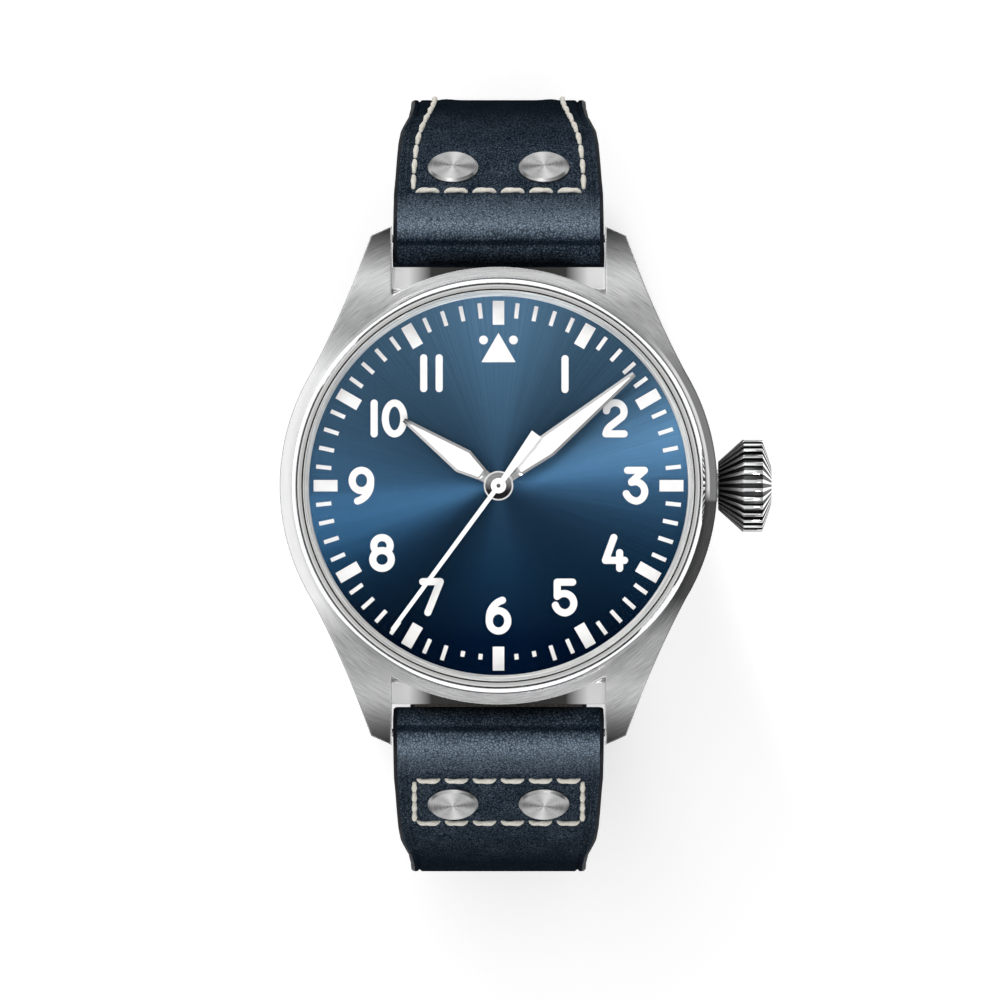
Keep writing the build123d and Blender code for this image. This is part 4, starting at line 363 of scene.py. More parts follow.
turned_lines = make_lines("turned_lines", {"Lines": 9000.0, "Smear": 3.0}, turned_place)
rayed_lines = make_lines("rayed_lines", {"Rays": 160.0, "Smear": 60.0}, rayed_place, 0.6)
straight_lines = make_lines("straight_lines", {"Lines": 9000.0, "Smear": 300.0}, straight_place)
handling_marks = make_cloudy()
leather_pebbles = make_pebbled()


# Materials: the finishes


def finish(name, colour, metallic=0.0, roughness=0.5, **plain):
    """A material with one shader, whose plain values are set on the shader itself."""
    material = bpy.data.materials.new(name)
    material.use_nodes = True
    tree = material.node_tree
    shader = tree.nodes["Principled BSDF"]
    shader.inputs["Base Color"].default_value = (*colour, 1.0)
    shader.inputs["Metallic"].default_value = metallic
    shader.inputs["Roughness"].default_value = roughness
    for label, value in plain.items():
        shader.inputs[label.replace("_", " ")].default_value = value
    return material, shader, add("TexCoord", tree=tree).outputs["Object"]


def ripple(shader, height, depth, over=None):
    """A bump of this depth in millimetres from a height between 0 and 1."""
    bump = add("Bump", {"Height": height, "Distance": depth * MM})
    if over is not None:
        feed(bump, "Normal", over)
    feed(shader, "Normal", bump.outputs[0])


def handled(shader, place, roughness):
    """Roughness with the faint marks that handling leaves. Returns their specks."""
    marks = use(handling_marks, place, Patches=260.0, Specks=6000.0)
    feed(shader, "Roughness", span(marks["Patches"], 0.4, 0.75, roughness, roughness + 0.06))
    return marks["Specks"]


def brushed(name, colour, group, core=0.0, **numbers):
    """Metal with brushed lines from one of the line patterns, dark in a core about the Z axis."""
    material, shader, place = finish(name, colour, 1.0, 0.3)
    lines = use(group, place, **numbers)["Lines"]
    dark = tuple(channel * 0.75 for channel in colour)
    light = tuple(min(1.0, channel * 1.15) for channel in colour)
    metal = blend(spread(lines), dark, light)
    if core:
        in_core = maths("LESS_THAN", from_axis(place), core * MM)
        metal = blend(in_core, metal, (0.1, 0.1, 0.105))
    feed(shader, "Base Color", metal)
    marks = span(use(handling_marks, place)["Patches"], 0.35, 0.7, -0.02, 0.03)
    feed(shader, "Roughness", maths("ADD", spread(lines, 0.24, 0.36), marks))
    ripple(shader, lines, 0.004)
    return material


def polished(name, colour, roughness=0.07):
    """Polished metal with the faint marks that handling leaves."""
    material, shader, place = finish(name, colour, 1.0, roughness)
    ripple(shader, handled(shader, place, roughness), 0.0006)
    return material


def printed(name, colour, roughness=0.45):
    """Thick white print, with a faint grain."""
    material, shader, place = finish(name, colour, 0.0, roughness)
    marks = use(handling_marks, place, Patches=900.0, Specks=9000.0)
    dark = tuple(channel * 0.93 for channel in colour)
    feed(shader, "Base Color", blend(spread(marks["Patches"]), dark, colour))
    ripple(shader, marks["Specks"], 0.006)
    return material


# The hub's painted shade and painted highlight, in millimetres
hub_shade_radius = 1.3
hub_highlight_radius = 1.5


def make_hand_steel():
    """Polished steel whose hub has a ring of painted shade, darker on its lower side, inside a ring of
    painted highlight.
    """
    steel = (0.6, 0.605, 0.61)
    material, shader, place = finish("hand_steel_polished", steel, 1.0, 0.1)
    handled(shader, place, 0.1)
    radius = from_axis(place)
    # Painted shade on the hub, dark below and grey above, with a painted highlight round it
    lit = span_mm(axes(place)[1], -0.5, 0.5)
    step = blend(lit, (0.02, 0.02, 0.022), (0.36, 0.36, 0.365))
    in_hub_shade = maths("LESS_THAN", radius, hub_shade_radius * MM)
    in_hub_highlight = maths("LESS_THAN", radius, hub_highlight_radius * MM)
    metal = blend(in_hub_highlight, steel, grey(0.95))
    feed(shader, "Base Color", blend(in_hub_shade, metal, step))
    return material


# Places on the case, in millimetres. Over a pair of them one finish fades into the next. The wall is
# the polished one between the lugs, painted as a reflection dark in its middle and white near the lugs.
# The band runs round the case's side and the rim is its outermost part; both carry a painted
# reflection, white, and dark on the lower right.
case_bevel = 0.3
seat_end = (20.3, 20.5)
wall_half_width = 10.52
wall_y = 19.35
wall_top = 54.3
wall_reflection_ends = (6.6, 8.8)
reflection_band_start = (19.7, 19.8)
reflection_band_ends = (15.0, 11.0)
dark_rim_start = (20.7, 20.8)
dark_reflection_x = (0.0, 12.0)
dark_reflection_y = (-0.4, -1.6)


def make_case_steel():
    """Rings brushed on the case's top, level lines on its flanks, painted shade on its slopes, and painted
    reflections on its band and on the polished wall between the lugs.
    """
    material, shader, place = finish("case_steel_brushed", (0.66, 0.665, 0.67), 1.0, 0.3)
    x, y, _ = axes(place)
    side_x, side_y, side_z = axes(vectors("ABSOLUTE", place))
    radius = from_axis(place)
    upright = maths("ABSOLUTE", axes(place.node.outputs["Normal"])[2])
    top = span(upright, 0.45, 0.55)
    rings = use(turned_lines, place, Lines=18000.0, Smear=12.0)["Lines"]
    level = use(straight_lines, vector_of(radius, side_z), Lines=9000.0, Smear=200.0)["Lines"]
    lines = add("Mix", {0: top, 2: level, 3: rings}).outputs[0]

    bevelled = add("Bevel", {"Radius": case_bevel * MM}, shader.id_data, samples=6).outputs[0]
    plain = add("NewGeometry", tree=shader.id_data).outputs["Normal"]
    clear = span_mm(radius, *seat_end)
    edge = product(span(vectors("DOT_PRODUCT", bevelled, plain), 0.995, 0.94), clear)
    normal = add("Mix", {0: clear, 4: plain, 5: bevelled}, data_type="VECTOR").outputs[1]

    streaks = blend(spread(lines), (0.26, 0.263, 0.267), grey(0.56))
    # Painted shade: the steeper a face, the darker its colour.
    slope_shade = product(span(upright, 0.97, 0.7), 0.92)
    slope_shaded = blend(slope_shade, streaks, (0.025, 0.025, 0.027))
    colour = blend(edge, slope_shaded, grey(0.85))

    # Painted reflection on the band: white, dark on the lower right and on the rim's right side.
    band = product(span_mm(radius, *reflection_band_start), top, span_mm(side_y, *reflection_band_ends), 0.85)
    below = product(span_mm(y, *dark_reflection_y), span_mm(x, *dark_reflection_x))
    rim = product(span_mm(radius, *dark_rim_start), span_mm(x, *dark_reflection_x, 0.0, 0.8))
    painted_reflection = blend(maths("MAXIMUM", below, rim), grey(0.98), (0.02, 0.02, 0.021))
    colour = blend(band, colour, painted_reflection)

    on_wall = product(
        maths("LESS_THAN", side_x, wall_half_width * MM),
        maths("GREATER_THAN", side_y, wall_y * MM),
        maths("LESS_THAN", side_z, wall_top * MM),
    )
    # Painted reflection on the wall between the lugs: dark in its middle, white near the lugs.
    wall = blend(span_mm(side_x, *wall_reflection_ends), (0.05, 0.05, 0.048), grey(1.0))
    feed(shader, "Base Color", blend(on_wall, colour, wall))
    feed(shader, "Metallic", span_mm(product(on_wall, side_x), 0.0, 9.0, 1.0, 0.3))
    smooth = maths("MAXIMUM", edge, on_wall)
    rough = add("Mix", {0: smooth, 2: spread(lines, 0.44, 0.56), 3: 0.14}).outputs[0]
    feed(shader, "Roughness", rough)
    ripple(shader, product(lines, maths("SUBTRACT", 1.0, smooth)), 0.006, normal)
    return material


dial_half_height = 19.0
# Painted shade: the blue is lighter at twelve o'clock and darker toward six.
dial_blues_painted_shade = (
    (0.0, (0.0001, 0.006, 0.026)), (0.1, (0.0002, 0.0085, 0.034)), (0.3, (0.01, 0.045, 0.1)),
    (0.5, (0.028, 0.077, 0.146)), (0.85, (0.1, 0.22, 0.36)), (1.0, (0.13, 0.27, 0.43)),
)


def make_dial_blue():
    """Blue lacquer over a sunburst brushed plate, with painted shade: darker toward six o'clock and on the
    diagonals.
    """
    lacquer = {"Anisotropic": 0.9, "Coat_Weight": 0.02, "Coat_Roughness": 0.05}
    material, shader, place = finish("dial_blue_sunburst", (0.05, 0.16, 0.28), 1.0, 0.42, **lacquer)
    tangent = add("Tangent", tree=shader.id_data, direction_type="RADIAL", axis="Z")
    feed(shader, "Tangent", tangent.outputs[0])
    rays = use(rayed_lines, place, Rays=190.0, Smear=40.0)["Lines"]
    height = span_mm(axes(place)[1], -dial_half_height, dial_half_height)
    across, up, _ = axes(vectors("NORMALIZE", flat(place)))
    diagonal = product(across, up)
    # Painted shade on the diagonals, with the brushed rays' own fine light and dark.
    rising_diagonal_shade = span(diagonal, 0.12, 0.5, 1.0, 0.45)
    falling_diagonal_shade = span(diagonal, -0.12, -0.5, 1.0, 0.6)
    shade = product(rising_diagonal_shade, falling_diagonal_shade, spread(rays, 0.84, 1.16))
    blue = blend(1.0, colour_ramp(height, dial_blues_painted_shade), shade, "MULTIPLY")
    feed(shader, "Base Color", blue)
    feed(shader, "Roughness", spread(rays, 0.33, 0.42))
    ripple(shader, rays, 0.004)
    return material


def make_flange_grey():
    """Fine turned rings between the dial and the glass, light and dark in turn."""
    material, shader, place = finish("flange_turned", (0.7, 0.7, 0.69), 0.15, 0.4)
    rings = use(turned_lines, place, Lines=9000.0, Smear=2.0)["Lines"]
    shade = blend(span(rings, 0.35, 0.65), grey(0.5), (0.97, 0.97, 0.94))
    feed(shader, "Base Color", shade)
    ripple(shader, rings, 0.01)
    return material


def make_glass():
    """Clear sapphire. Lamps shine through it as through air, so the dial is lit."""
    material, shader, _ = finish(
        "sapphire_clear", grey(1.0), 0.0, 0.0, IOR=1.06, Transmission_Weight=1.0, Specular_IOR_Level=0.3
    )
    in_shadow = add("LightPath", tree=shader.id_data).outputs["Is Shadow Ray"]
    feed(shader, "Alpha", maths("SUBTRACT", 1.0, in_shadow))
    return material


def make_rivet_steel():
    """Steel brushed in rings about each rivet's own middle, with broad rays of painted highlight and shade.
    """
    material, shader, place = finish("rivet_steel_brushed", (0.74, 0.745, 0.75), 1.0, 0.28)
    side_x, side_y, side_z = axes(vectors("ABSOLUTE", place))
    across = maths("SUBTRACT", side_x, rivet_x * MM)
    out = product(maths("SUBTRACT", side_y, rivet_y * MM), -rivet_slope[1])
    rise = product(maths("SUBTRACT", side_z, rivet_z * MM), rivet_slope[0])
    up = maths("ADD", out, rise)
    rings = use(turned_lines, vector_of(across, up), Lines=12000.0, Smear=1.5)["Lines"]
    around = maths("ARCTAN2", up, across)

    def rays(count, turn, strength):
        wave = maths("COSINE", maths("ADD", product(around, count), turn))
        return product(wave, strength)

    # Painted highlight and shade: broad bright and dark rays about the rivet's middle.
    painted_highlight_rays = maths("ADD", rays(2.0, 0.35, 0.26), rays(6.0, 0.9, 0.14))
    rings_and_painted_sheen = span(maths("SUBTRACT", product(rings, 0.9), painted_highlight_rays), 0.0, 0.95)
    feed(shader, "Base Color", blend(rings_and_painted_sheen, (0.13, 0.13, 0.133), grey(0.64)))
    feed(shader, "Roughness", spread(rings, 0.26, 0.38))
    ripple(shader, rings, 0.012)
    return material


def make_pearled():
    """A plate with overlapping spots, each turned in small rings."""
    material, shader, place = finish("plate_pearled", (0.7, 0.68, 0.63), 1.0, 0.26)
    inputs = {"Vector": place, "Scale": 800.0, "Randomness": 0.35}
    spots = add("TexVoronoi", inputs, voronoi_dimensions="2D").outputs["Distance"]
    shade = blend(span(spots, 0.0, 0.7), (0.8, 0.78, 0.73), (0.55, 0.53, 0.49))
    feed(shader, "Base Color", shade)
    rings = maths("SINE", product(spots, 60.0))
    ripple(shader, span(rings, -1.0, 1.0), 0.006)
    return material


def make_striped(name, light, dark, pitch):
    """Metal with broad straight stripes, each brushed to one side."""
    material, shader, place = finish(name, light, 1.0, 0.25)
    slanted = add("Mapping", {"Vector": place, "Rotation": (0.0, 0.0, radians(35))}).outputs[0]
    stripe = maths("FRACT", maths("DIVIDE", axes(slanted)[0], pitch * MM))
    lines = use(straight_lines, slanted, Lines=600.0, Smear=9000.0)["Lines"]
    feed(shader, "Base Color", blend(stripe, dark, light))
    feed(shader, "Roughness", spread(lines, 0.18, 0.34))
    ripple(shader, maths("ADD", product(stripe, 0.8), product(lines, 0.2)), 0.02)
    return material


# Places on the strap where its colour changes, in millimetres: a painted highlight over the bulge, painted
# shade in the fold and down the lower sides
bulge_highlight_rise = (24.2, 25.7)
bulge_highlight_fall = (25.7, 28.8)
padded_start = (44.0, 46.0)
fold_shade_ends = (0.45, 0.15)
side_shade_heights = (41.0, 31.0)


def make_leather(name, deep, worn, roughness, pebbles, depth, highlight_colour=None):
    """Pebbled leather. Where it has a highlight colour, that is a painted highlight over the bulge by the
    bars, with painted shade in the fold beside them and down the strap's lower sides.
    """
    material, shader, place = finish(name, deep, 0.0, roughness, Specular_IOR_Level=0.0)
    grain = use(leather_pebbles, place, Pebbles=pebbles)["Height"]
    marks = use(handling_marks, place, Patches=420.0, Specks=2600.0)
    mottle = product(span(marks["Patches"], 0.35, 0.7), span(marks["Specks"], 0.3, 0.75), 0.5)
    tone = maths("ADD", mottle, span(grain, -0.35, 0.3, -0.35, 0.45), clamp=True)
    colour = blend(tone, deep, worn)
    if highlight_colour is not None:
        _, side_y, side_z = axes(vectors("ABSOLUTE", place))
        padded = span_mm(side_z, *padded_start)
        rise = span_mm(side_y, *bulge_highlight_rise)
        fall = span_mm(side_y, *bulge_highlight_fall, 1.0, 0.0)
        # Painted highlight over the bulge by the bar
        bulge = product(rise, fall, padded, span(grain, -0.35, 0.3, 0.15, 1.0))
        colour = blend(bulge, colour, highlight_colour)
        # Painted shade in the fold beside the bar
        beside = maths("ABSOLUTE", maths("SUBTRACT", side_y, fold_y * MM))
        fold_shade = product(span_mm(beside, *fold_shade_ends, 0.0, 0.75), padded)
        colour = blend(fold_shade, colour, (0.002, 0.005, 0.01))
        # Painted shade, darker down the strap's sides
        side_shade = span_mm(side_z, *side_shade_heights, 0.0, 0.85)
        colour = blend(side_shade, colour, tuple(channel * 0.35 for channel in deep))
    feed(shader, "Base Color", colour)
    feed(shader, "Roughness", span(grain, -0.4, 0.5, roughness + 0.12, roughness - 0.06))
    ripple(shader, grain, depth)
    return material


def make_edge_paint():
    """The thick smooth paint that seals the strap's cut edges."""
    black = (0.008, 0.01, 0.014)
    material, shader, place = finish("edge_paint_black", black, 0.0, 0.55, Specular_IOR_Level=0.06)
    marks = use(handling_marks, place, Patches=500.0, Specks=3000.0)
    feed(shader, "Roughness", spread(marks["Patches"], 0.48, 0.62))
    ripple(shader, marks["Specks"], 0.03)
    return material


def make_thread():
    """Waxed cream thread."""
    material, shader, place = finish("thread_cream", (0.85, 0.82, 0.74), 0.0, 0.65)
    fibres = use(straight_lines, place, Lines=9000.0, Smear=3000.0)["Lines"]
    feed(shader, "Base Color", blend(spread(fibres), (0.66, 0.62, 0.53), (0.95, 0.93, 0.86)))
    ripple(shader, fibres, 0.03)
    return material


polished_steel = polished("polished_steel_bright", (0.86, 0.865, 0.87))
# Nearly black steel: painted shade for the crown's grooves.
groove_painted_shade = polished("groove_steel_painted_shade", (0.05, 0.05, 0.052), 0.3)
satin_steel = polished("satin_steel_grey", (0.75, 0.75, 0.755), 0.3)
# The last colour is the painted highlight over the bulge.
leather_navy = make_leather(
    "leather_navy_pebbled", (0.01, 0.018, 0.029), (0.12, 0.155, 0.2), 0.66, 3600.0, 0.05, (0.25, 0.32, 0.4)
)
leather_lining = make_leather(
    "leather_lining_grey", (0.055, 0.05, 0.045), (0.11, 0.1, 0.09), 0.7, 2600.0, 0.03
)
edge_paint = make_edge_paint()
thread_cream = make_thread()
slot_materials = {
    "case_steel": make_case_steel(),
    "polished_steel": polished_steel,
    "back_steel": brushed("back_steel_turned", (0.68, 0.68, 0.69), turned_lines, Lines=8000.0),
    "sapphire": make_glass(),
    "gasket": printed("gasket_nylon", (0.5, 0.5, 0.49), 0.5),
    "flange_grey": make_flange_grey(),
    "dial_blue": make_dial_blue(),
    "marking_white": printed("marking_white_print", (0.78, 0.775, 0.77)),
    "hand_steel": make_hand_steel(),
    "hand_lume": printed("hand_lume_white", (0.9, 0.9, 0.885), 0.55),
    "hand_white": printed("hand_white_lacquer", grey(0.84), 0.3),
    "plate_nickel": make_pearled(),
    "bridge_nickel": make_striped("bridge_striped", (0.8, 0.79, 0.76), (0.5, 0.49, 0.47), 1.1),
    "gear_brass": brushed("gear_brass_satin", (0.8, 0.62, 0.28), straight_lines, core=0.45, Lines=7000.0),
    "gear_steel": brushed("gear_steel_satin", (0.66, 0.67, 0.69), straight_lines, Lines=7000.0),
    "screw_blue": polished("screw_steel_blued", (0.05, 0.1, 0.42), 0.12),
    "ruby": finish("jewel_ruby", (0.55, 0.02, 0.1), 0.0, 0.05)[0],
    "rotor_metal": make_striped("rotor_striped", (0.76, 0.75, 0.72), (0.46, 0.45, 0.43), 1.4),
    "strap_leather": leather_navy,
    "rivet_steel": make_rivet_steel(),
    "buckle_steel": brushed("buckle_steel_satin", (0.72, 0.725, 0.73), straight_lines, Lines=7000.0),
}
for part in frame["record"]["subparts"]:
    for place in nodes[part["node"]].material_slots:
        place.material = slot_materials[part["material_slot"]]

# Crown: flutes that start on its inner cone and run out over its rounded end. A flute is pairs of a
# share of its width and a share of its depth, the profile is places of x, radius and depth of flute.

crown_z = 51.4
crown_flutes = 32
flute_shape = (
    (-0.21, 1.0), (0.0, 1.0), (0.21, 1.0), (0.28, 0.2), (0.38, 0.04), (0.5, 0.0), (0.62, 0.04), (0.72, 0.2)
)
crown_profile = (
    (24.7, 0.0, 0.0), (24.7, 1.7, 0.0), (21.6, 1.7, 0.0), (21.6, 2.32, 0.0), (21.63, 2.4, 0.1),
    (22.2, 2.92, 0.2), (22.8, 3.46, 0.27), (23.4, 4.0, 0.32), (23.95, 4.5, 0.36), (24.1, 4.6, 0.36),
    (24.2, 4.62, 0.36), (25.1, 4.62, 0.36), (25.88, 4.62, 0.36), (25.97, 4.58, 0.36), (26.15, 4.1, 0.33),
    (26.4, 3.35, 0.26), (26.65, 2.55, 0.18), (26.8, 2.05, 0.08), (26.86, 1.8, 0.0), (26.87, 1.2, 0.0),
    (26.87, 0.0, 0.0),
)
crown_columns = crown_flutes * len(flute_shape)
cone_rows = range(4, 9)
fluted_rows = range(4, 18)
shaded_groove_steps = (0, 1, 2, 7)


def crown_place(column, row):
    x, radius, depth = crown_profile[row]
    flute, step = divmod(column % crown_columns, len(flute_shape))
    offset, cut = flute_shape[step]
    turn = 2 * pi * (flute + offset) / crown_flutes
    reach = radius - depth * cut
    return Vector((x * MM, reach * cos(turn) * MM, (crown_z + reach * sin(turn)) * MM))


def crown_paint(column, row):
    """Painted shade in the grooves, and satin on the inner cone."""
    if row in fluted_rows and column % len(flute_shape) in shaded_groove_steps:
        return 1
    return 2 if row in cone_rows else 0


fluted_crown = wrapped_grid("fluted_crown", crown_columns, len(crown_profile) - 1, crown_place, crown_paint)
dress(fluted_crown, polished_steel, groove_painted_shade, satin_steel)
smooth_below(fluted_crown, 25)
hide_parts("crown")
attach(fluted_crown, "crown")

# Leather. A station is a cut across the strap: the outer face's point and direction in the side
# view, and the strap's thickness there.

station_step = 0.3
nose_steps = 12
cap_steps = 6
roll_rows = 24


def facing(tilt):
    """The direction, in the side view, that the strap faces at this tilt from upright."""
    return Vector((sin(radians(tilt)), cos(radians(tilt))))


def along_from(face):
    """The direction along the strap, a quarter turn on from the way it faces."""
    return Vector((face.y, -face.x))


def side_thickness(tilt):
    """The strap grows thinner from the padded lug end to its side."""
    share = (tilt - side_start_tilt) / (90 - side_start_tilt)
    return thick - taper_even * share - taper_growing * share * share


def strap_stations(bend_radius, end_tilt, run):
    """Stations of a half on the twelve o'clock side, from its rolled end to its cut end."""
    found = []
    bar = Vector((bar_y, bar_z))
    side_centre = Vector((side_centre_y, side_centre_z))
    start = facing(side_start_tilt)
    along = facing(side_start_tilt + 90)
    for step in range(nose_steps):
        turn = pi / 2 * step / nose_steps
        middle = bar - along * roll_radius * cos(turn)
        half = roll_radius * sin(turn)
        found.append((middle + start * half, start, 2 * half))
    lead = (side_centre + start * side_radius - bar - start * roll_radius).length
    for step in range(int(lead / station_step) + 1):
        share = step * station_step / lead
        point = bar + start * roll_radius + along * share * lead
        found.append((point, start, 2 * roll_radius + share * (thick - 2 * roll_radius)))
    side_count = int(side_radius * radians(90 - side_start_tilt) / station_step)
    for step in range(side_count + 1):
        tilt = side_start_tilt + (90 - side_start_tilt) * step / side_count
        found.append((side_centre + facing(tilt) * side_radius, facing(tilt), side_thickness(tilt)))
    bend_centre = Vector((side_centre_y + side_radius - bend_radius, side_centre_z))
    bend_count = int(bend_radius * radians(end_tilt - 90) / station_step / 2)
    for step in range(1, bend_count + 1):
        tilt = 90 + (end_tilt - 90) * step / bend_count
        found.append((bend_centre + facing(tilt) * bend_radius, facing(tilt), thin))
    end_face = facing(end_tilt)
    end_along = facing(end_tilt + 90)
    corner = bend_centre + end_face * bend_radius
    run_count = int(run / station_step / 2)
    for step in range(1, run_count + 1):
        found.append((corner + end_along * run * step / run_count, end_face, thin))
    end = corner + end_along * run - end_face * thin / 2
    for step in range(1, cap_steps + 1):
        turn = pi / 2 * step / cap_steps
        half = thin / 2 * cos(turn)
        found.append((end + end_along * thin / 2 * sin(turn) + end_face * half, end_face, 2 * half))
    return found


edge_insets = [
    0.42, 0.55, 0.66, 0.75, 0.84, 0.93, 1.04, 1.16, 1.26, 1.35, 1.44, 1.55, 1.7, 1.85, 2.0, 2.2, 2.4, 2.65
]
middle_columns = 26
edge_columns = 6
lining_columns = 14
edge_round = 0.42


def ring_points(half_width, thickness):
    """A cut across the strap, clockwise from its outer face's left end: (x, depth) pairs."""
    rounding = min(edge_round, thickness / 2)
    outer = [(-half_width + inset, 0.0) for inset in edge_insets]
    inner_half = half_width - edge_insets[-1]
    for step in range(1, middle_columns):
        outer.append((-inner_half + 2 * inner_half * step / middle_columns, 0.0))
    outer += [(half_width - inset, 0.0) for inset in reversed(edge_insets)]
    right = []
    for step in range(1, edge_columns):
        turn = pi * step / edge_columns
        depth = rounding * (1 - cos(turn)) if turn < pi / 2 else thickness - rounding * (1 + cos(turn))
        if step == edge_columns / 2:
            depth = thickness / 2
        right.append((half_width - edge_insets[0] + rounding * sin(turn), depth))
    lining_half = half_width - edge_insets[0]
    lining = []
    for step in range(lining_columns + 1):
        lining.append((lining_half - 2 * lining_half * step / lining_columns, thickness))
    left = [(-x, depth) for x, depth in reversed(right)]
    return outer + right + lining + left


outer_count = 2 * len(edge_insets) + middle_columns - 1
right_start = outer_count - 1
lining_start = right_start + edge_columns
left_start = lining_start + lining_columns
ring_count = left_start + edge_columns


def ring_paint(column, row):
    """Outer leather, edge paint or lining, by the face's place round the cut."""
    if column < right_start:
        return 0
    if row < roll_rows and lining_start <= column < left_start:
        return 0
    if column < lining_start or column >= left_start:
        return 1
    return 2


# Marks in the outer face, in millimetres: a fold beside the bar, a bulge over it, a crease along each
# edge with a second one near the lugs, seams under the thread and the padding between them
flat_margin = 0.1
plain_thickness = 1.0
fold_depth, fold_reach = 0.3, 0.35
bulge_y, bulge_height, bulge_reach, bulge_low = 26.1, 0.1, 1.0, 46.0
crease_start, crease_fade, crease_reach = 0.8, 1.5, 0.13
edge_crease, edge_crease_depth = 0.88, 0.2
lug_crease, lug_crease_depth, lug_crease_low = 1.35, 0.18, 36.0
seam_depth, row_seam_reach, side_seam_reach = 0.12, 0.3, 0.28
padding_inset, padding_height, padding_reach = 1.2, 0.1, 0.8


def bell(distance, reach):
    return exp(-((distance / reach) ** 2))


def from_table(table, z):
    """A half width read from a table of heights, from the highest down."""
    for (high, wide), (low, narrow) in zip(table, table[1:]):
        if z >= low:
            share = min(1.0, (z - low) / (high - low))
            return narrow + (wide - narrow) * share
    return table[-1][1]


def half_width_at(z, y, tail):
    """Half the strap's width, which narrows at its shoulders and, where it lies flat, to the tail's tip."""
    half = from_table(strap_widths, z)
    if tail and z < thin + flat_margin and y < -tail_taper_y:
        reach = (-y - tail_taper_y) / (tail_end_y - tail_taper_y)
        half -= (strap_widths[-1][1] - tail_end_half_width) * min(1.0, reach) ** 2
    return half


def side_row(z, tail):
    """The side rows keep near the edge, and draw in along the shoulders of the buckle half."""
    return lower_row_x if tail else from_table(side_rows, z)


def relief(x, y, z, distance, half_width, tail):
    """How far the outer face stands proud of, or lies below, its plain shape."""
    if distance is None:
        return -fold_depth * bell(y - fold_y, fold_reach)
    from_edge = half_width - abs(x)
    height = bulge_height * bell(y - bulge_y, bulge_reach) if z > bulge_low else 0.0
    fade = min(1.0, max(0.0, distance - crease_start) / crease_fade)
    height -= edge_crease_depth * bell(from_edge - edge_crease, crease_reach) * fade
    if z > lug_crease_low:
        height -= lug_crease_depth * bell(from_edge - lug_crease, crease_reach) * fade
    row = side_row(z, tail)
    if abs(x) < row + row_seam_reach:
        height -= seam_depth * bell(distance - row_low, row_seam_reach)
        if tail:
            height -= seam_depth * bell(distance - row_high, row_seam_reach)
    if distance > row_low and (distance < row_high or not tail):
        height -= seam_depth * bell(abs(x) - row, side_seam_reach)
        height += padding_height * bell(abs(x) - row + padding_inset, padding_reach)
    return height


def run_of(stations):
    """How far each station is along the outer face, or None on the roll about the bar."""
    far = [None] * nose_steps
    distance = 0.0
    for (before, _, _), (after, _, _) in zip(stations[nose_steps - 1:], stations[nose_steps:]):
        distance += (after - before).length
        far.append(distance)
    return far


def station_at(stations, distance):
    """The first station this far along, and how far it is."""
    for station, run in zip(stations, run_of(stations)):
        if run is not None and run >= distance:
            return station, run


def leather_half(name, stations, side, tail):
    """A strap half. Side is 1 at twelve o'clock and -1 at six."""
    rings = []
    for (point, face, thickness), distance in zip(stations, run_of(stations)):
        half_width = half_width_at(point.y, point.x, tail)
        ring = []
        for x, depth in ring_points(half_width, thickness):
            plain = depth > 0.0 or thickness < plain_thickness
            lift = 0.0 if plain else relief(x, point.x, point.y, distance, half_width, tail)
            moved = point + face * (lift - depth)
            ring.append(Vector((x * MM, side * moved.x * MM, moved.y * MM)))
        rings.append(ring)

    def place(column, row):
        return rings[row][column % ring_count]

    piece = wrapped_grid(name, ring_count, len(rings) - 1, place, ring_paint)
    dress(piece, leather_navy, edge_paint, leather_lining)
    return piece


def cutter(name, radius, start, end):
    """A round drill between two points in millimetres, whose wall is painted black."""
    deselect()
    line = Vector(end) - Vector(start)
    bpy.ops.mesh.primitive_cylinder_add(vertices=32, radius=radius * MM, depth=line.length * MM)
    drill = bpy.context.object
    drill.name = name
    turn = line.to_track_quat("Z", "Y").to_matrix().to_4x4()
    drill.matrix_world = Matrix.Translation((Vector(start) + Vector(end)) / 2 * MM) @ turn
    dress(drill, edge_paint)
    return drill


def bore(name, radius, y, z):
    """The drill for a bar that lies across the strap."""
    return cutter(name, radius, (-bore_reach, y, z), (bore_reach, y, z))


def drill_out(piece, drills):
    """Cuts the drills from the piece and throws them away."""
    tool = joined("drills", drills)
    cut = piece.modifiers.new("drilled", "BOOLEAN")
    cut.object = tool
    cut.operation = "DIFFERENCE"
    cut.solver = "EXACT"
    cut.material_mode = "TRANSFER"
    pick(piece)
    bpy.ops.object.modifier_apply(modifier=cut.name)
    bpy.data.objects.remove(tool)


def tang_slot():
    """The cut through the buckle end, in which the tang turns about its bar."""
    deselect()
    bpy.ops.mesh.primitive_cube_add(size=1.0)
    slot = bpy.context.object
    out = facing(buckle_end_tilt)
    along = facing(buckle_end_tilt + 90)
    turn = Matrix(((1, 0, 0), (0, along.x, along.y), (0, out.x, out.y))).transposed().to_4x4()
    middle = Vector((0, buckle_bar_y, buckle_bar_z)) + Vector((0, along.x, along.y)) * slot_offset
    slot.matrix_world = Matrix.Translation(middle * MM) @ turn @ Matrix.Diagonal(
        (slot_width * MM, slot_length * MM, slot_height * MM, 1.0)
    )
    dress(slot, edge_paint)
    return slot


bend_end_y = side_centre_y + side_radius - corner_radius
buckle_stations = strap_stations(buckle_corner_radius, buckle_end_tilt, buckle_run)
long_stations = strap_stations(corner_radius, 180.0, tail_run + bend_end_y - tail_run_start)

leather_buckle_half = leather_half("leather_buckle_half", buckle_stations, 1, False)
leather_long_half = leather_half("leather_long_half", long_stations, -1, True)

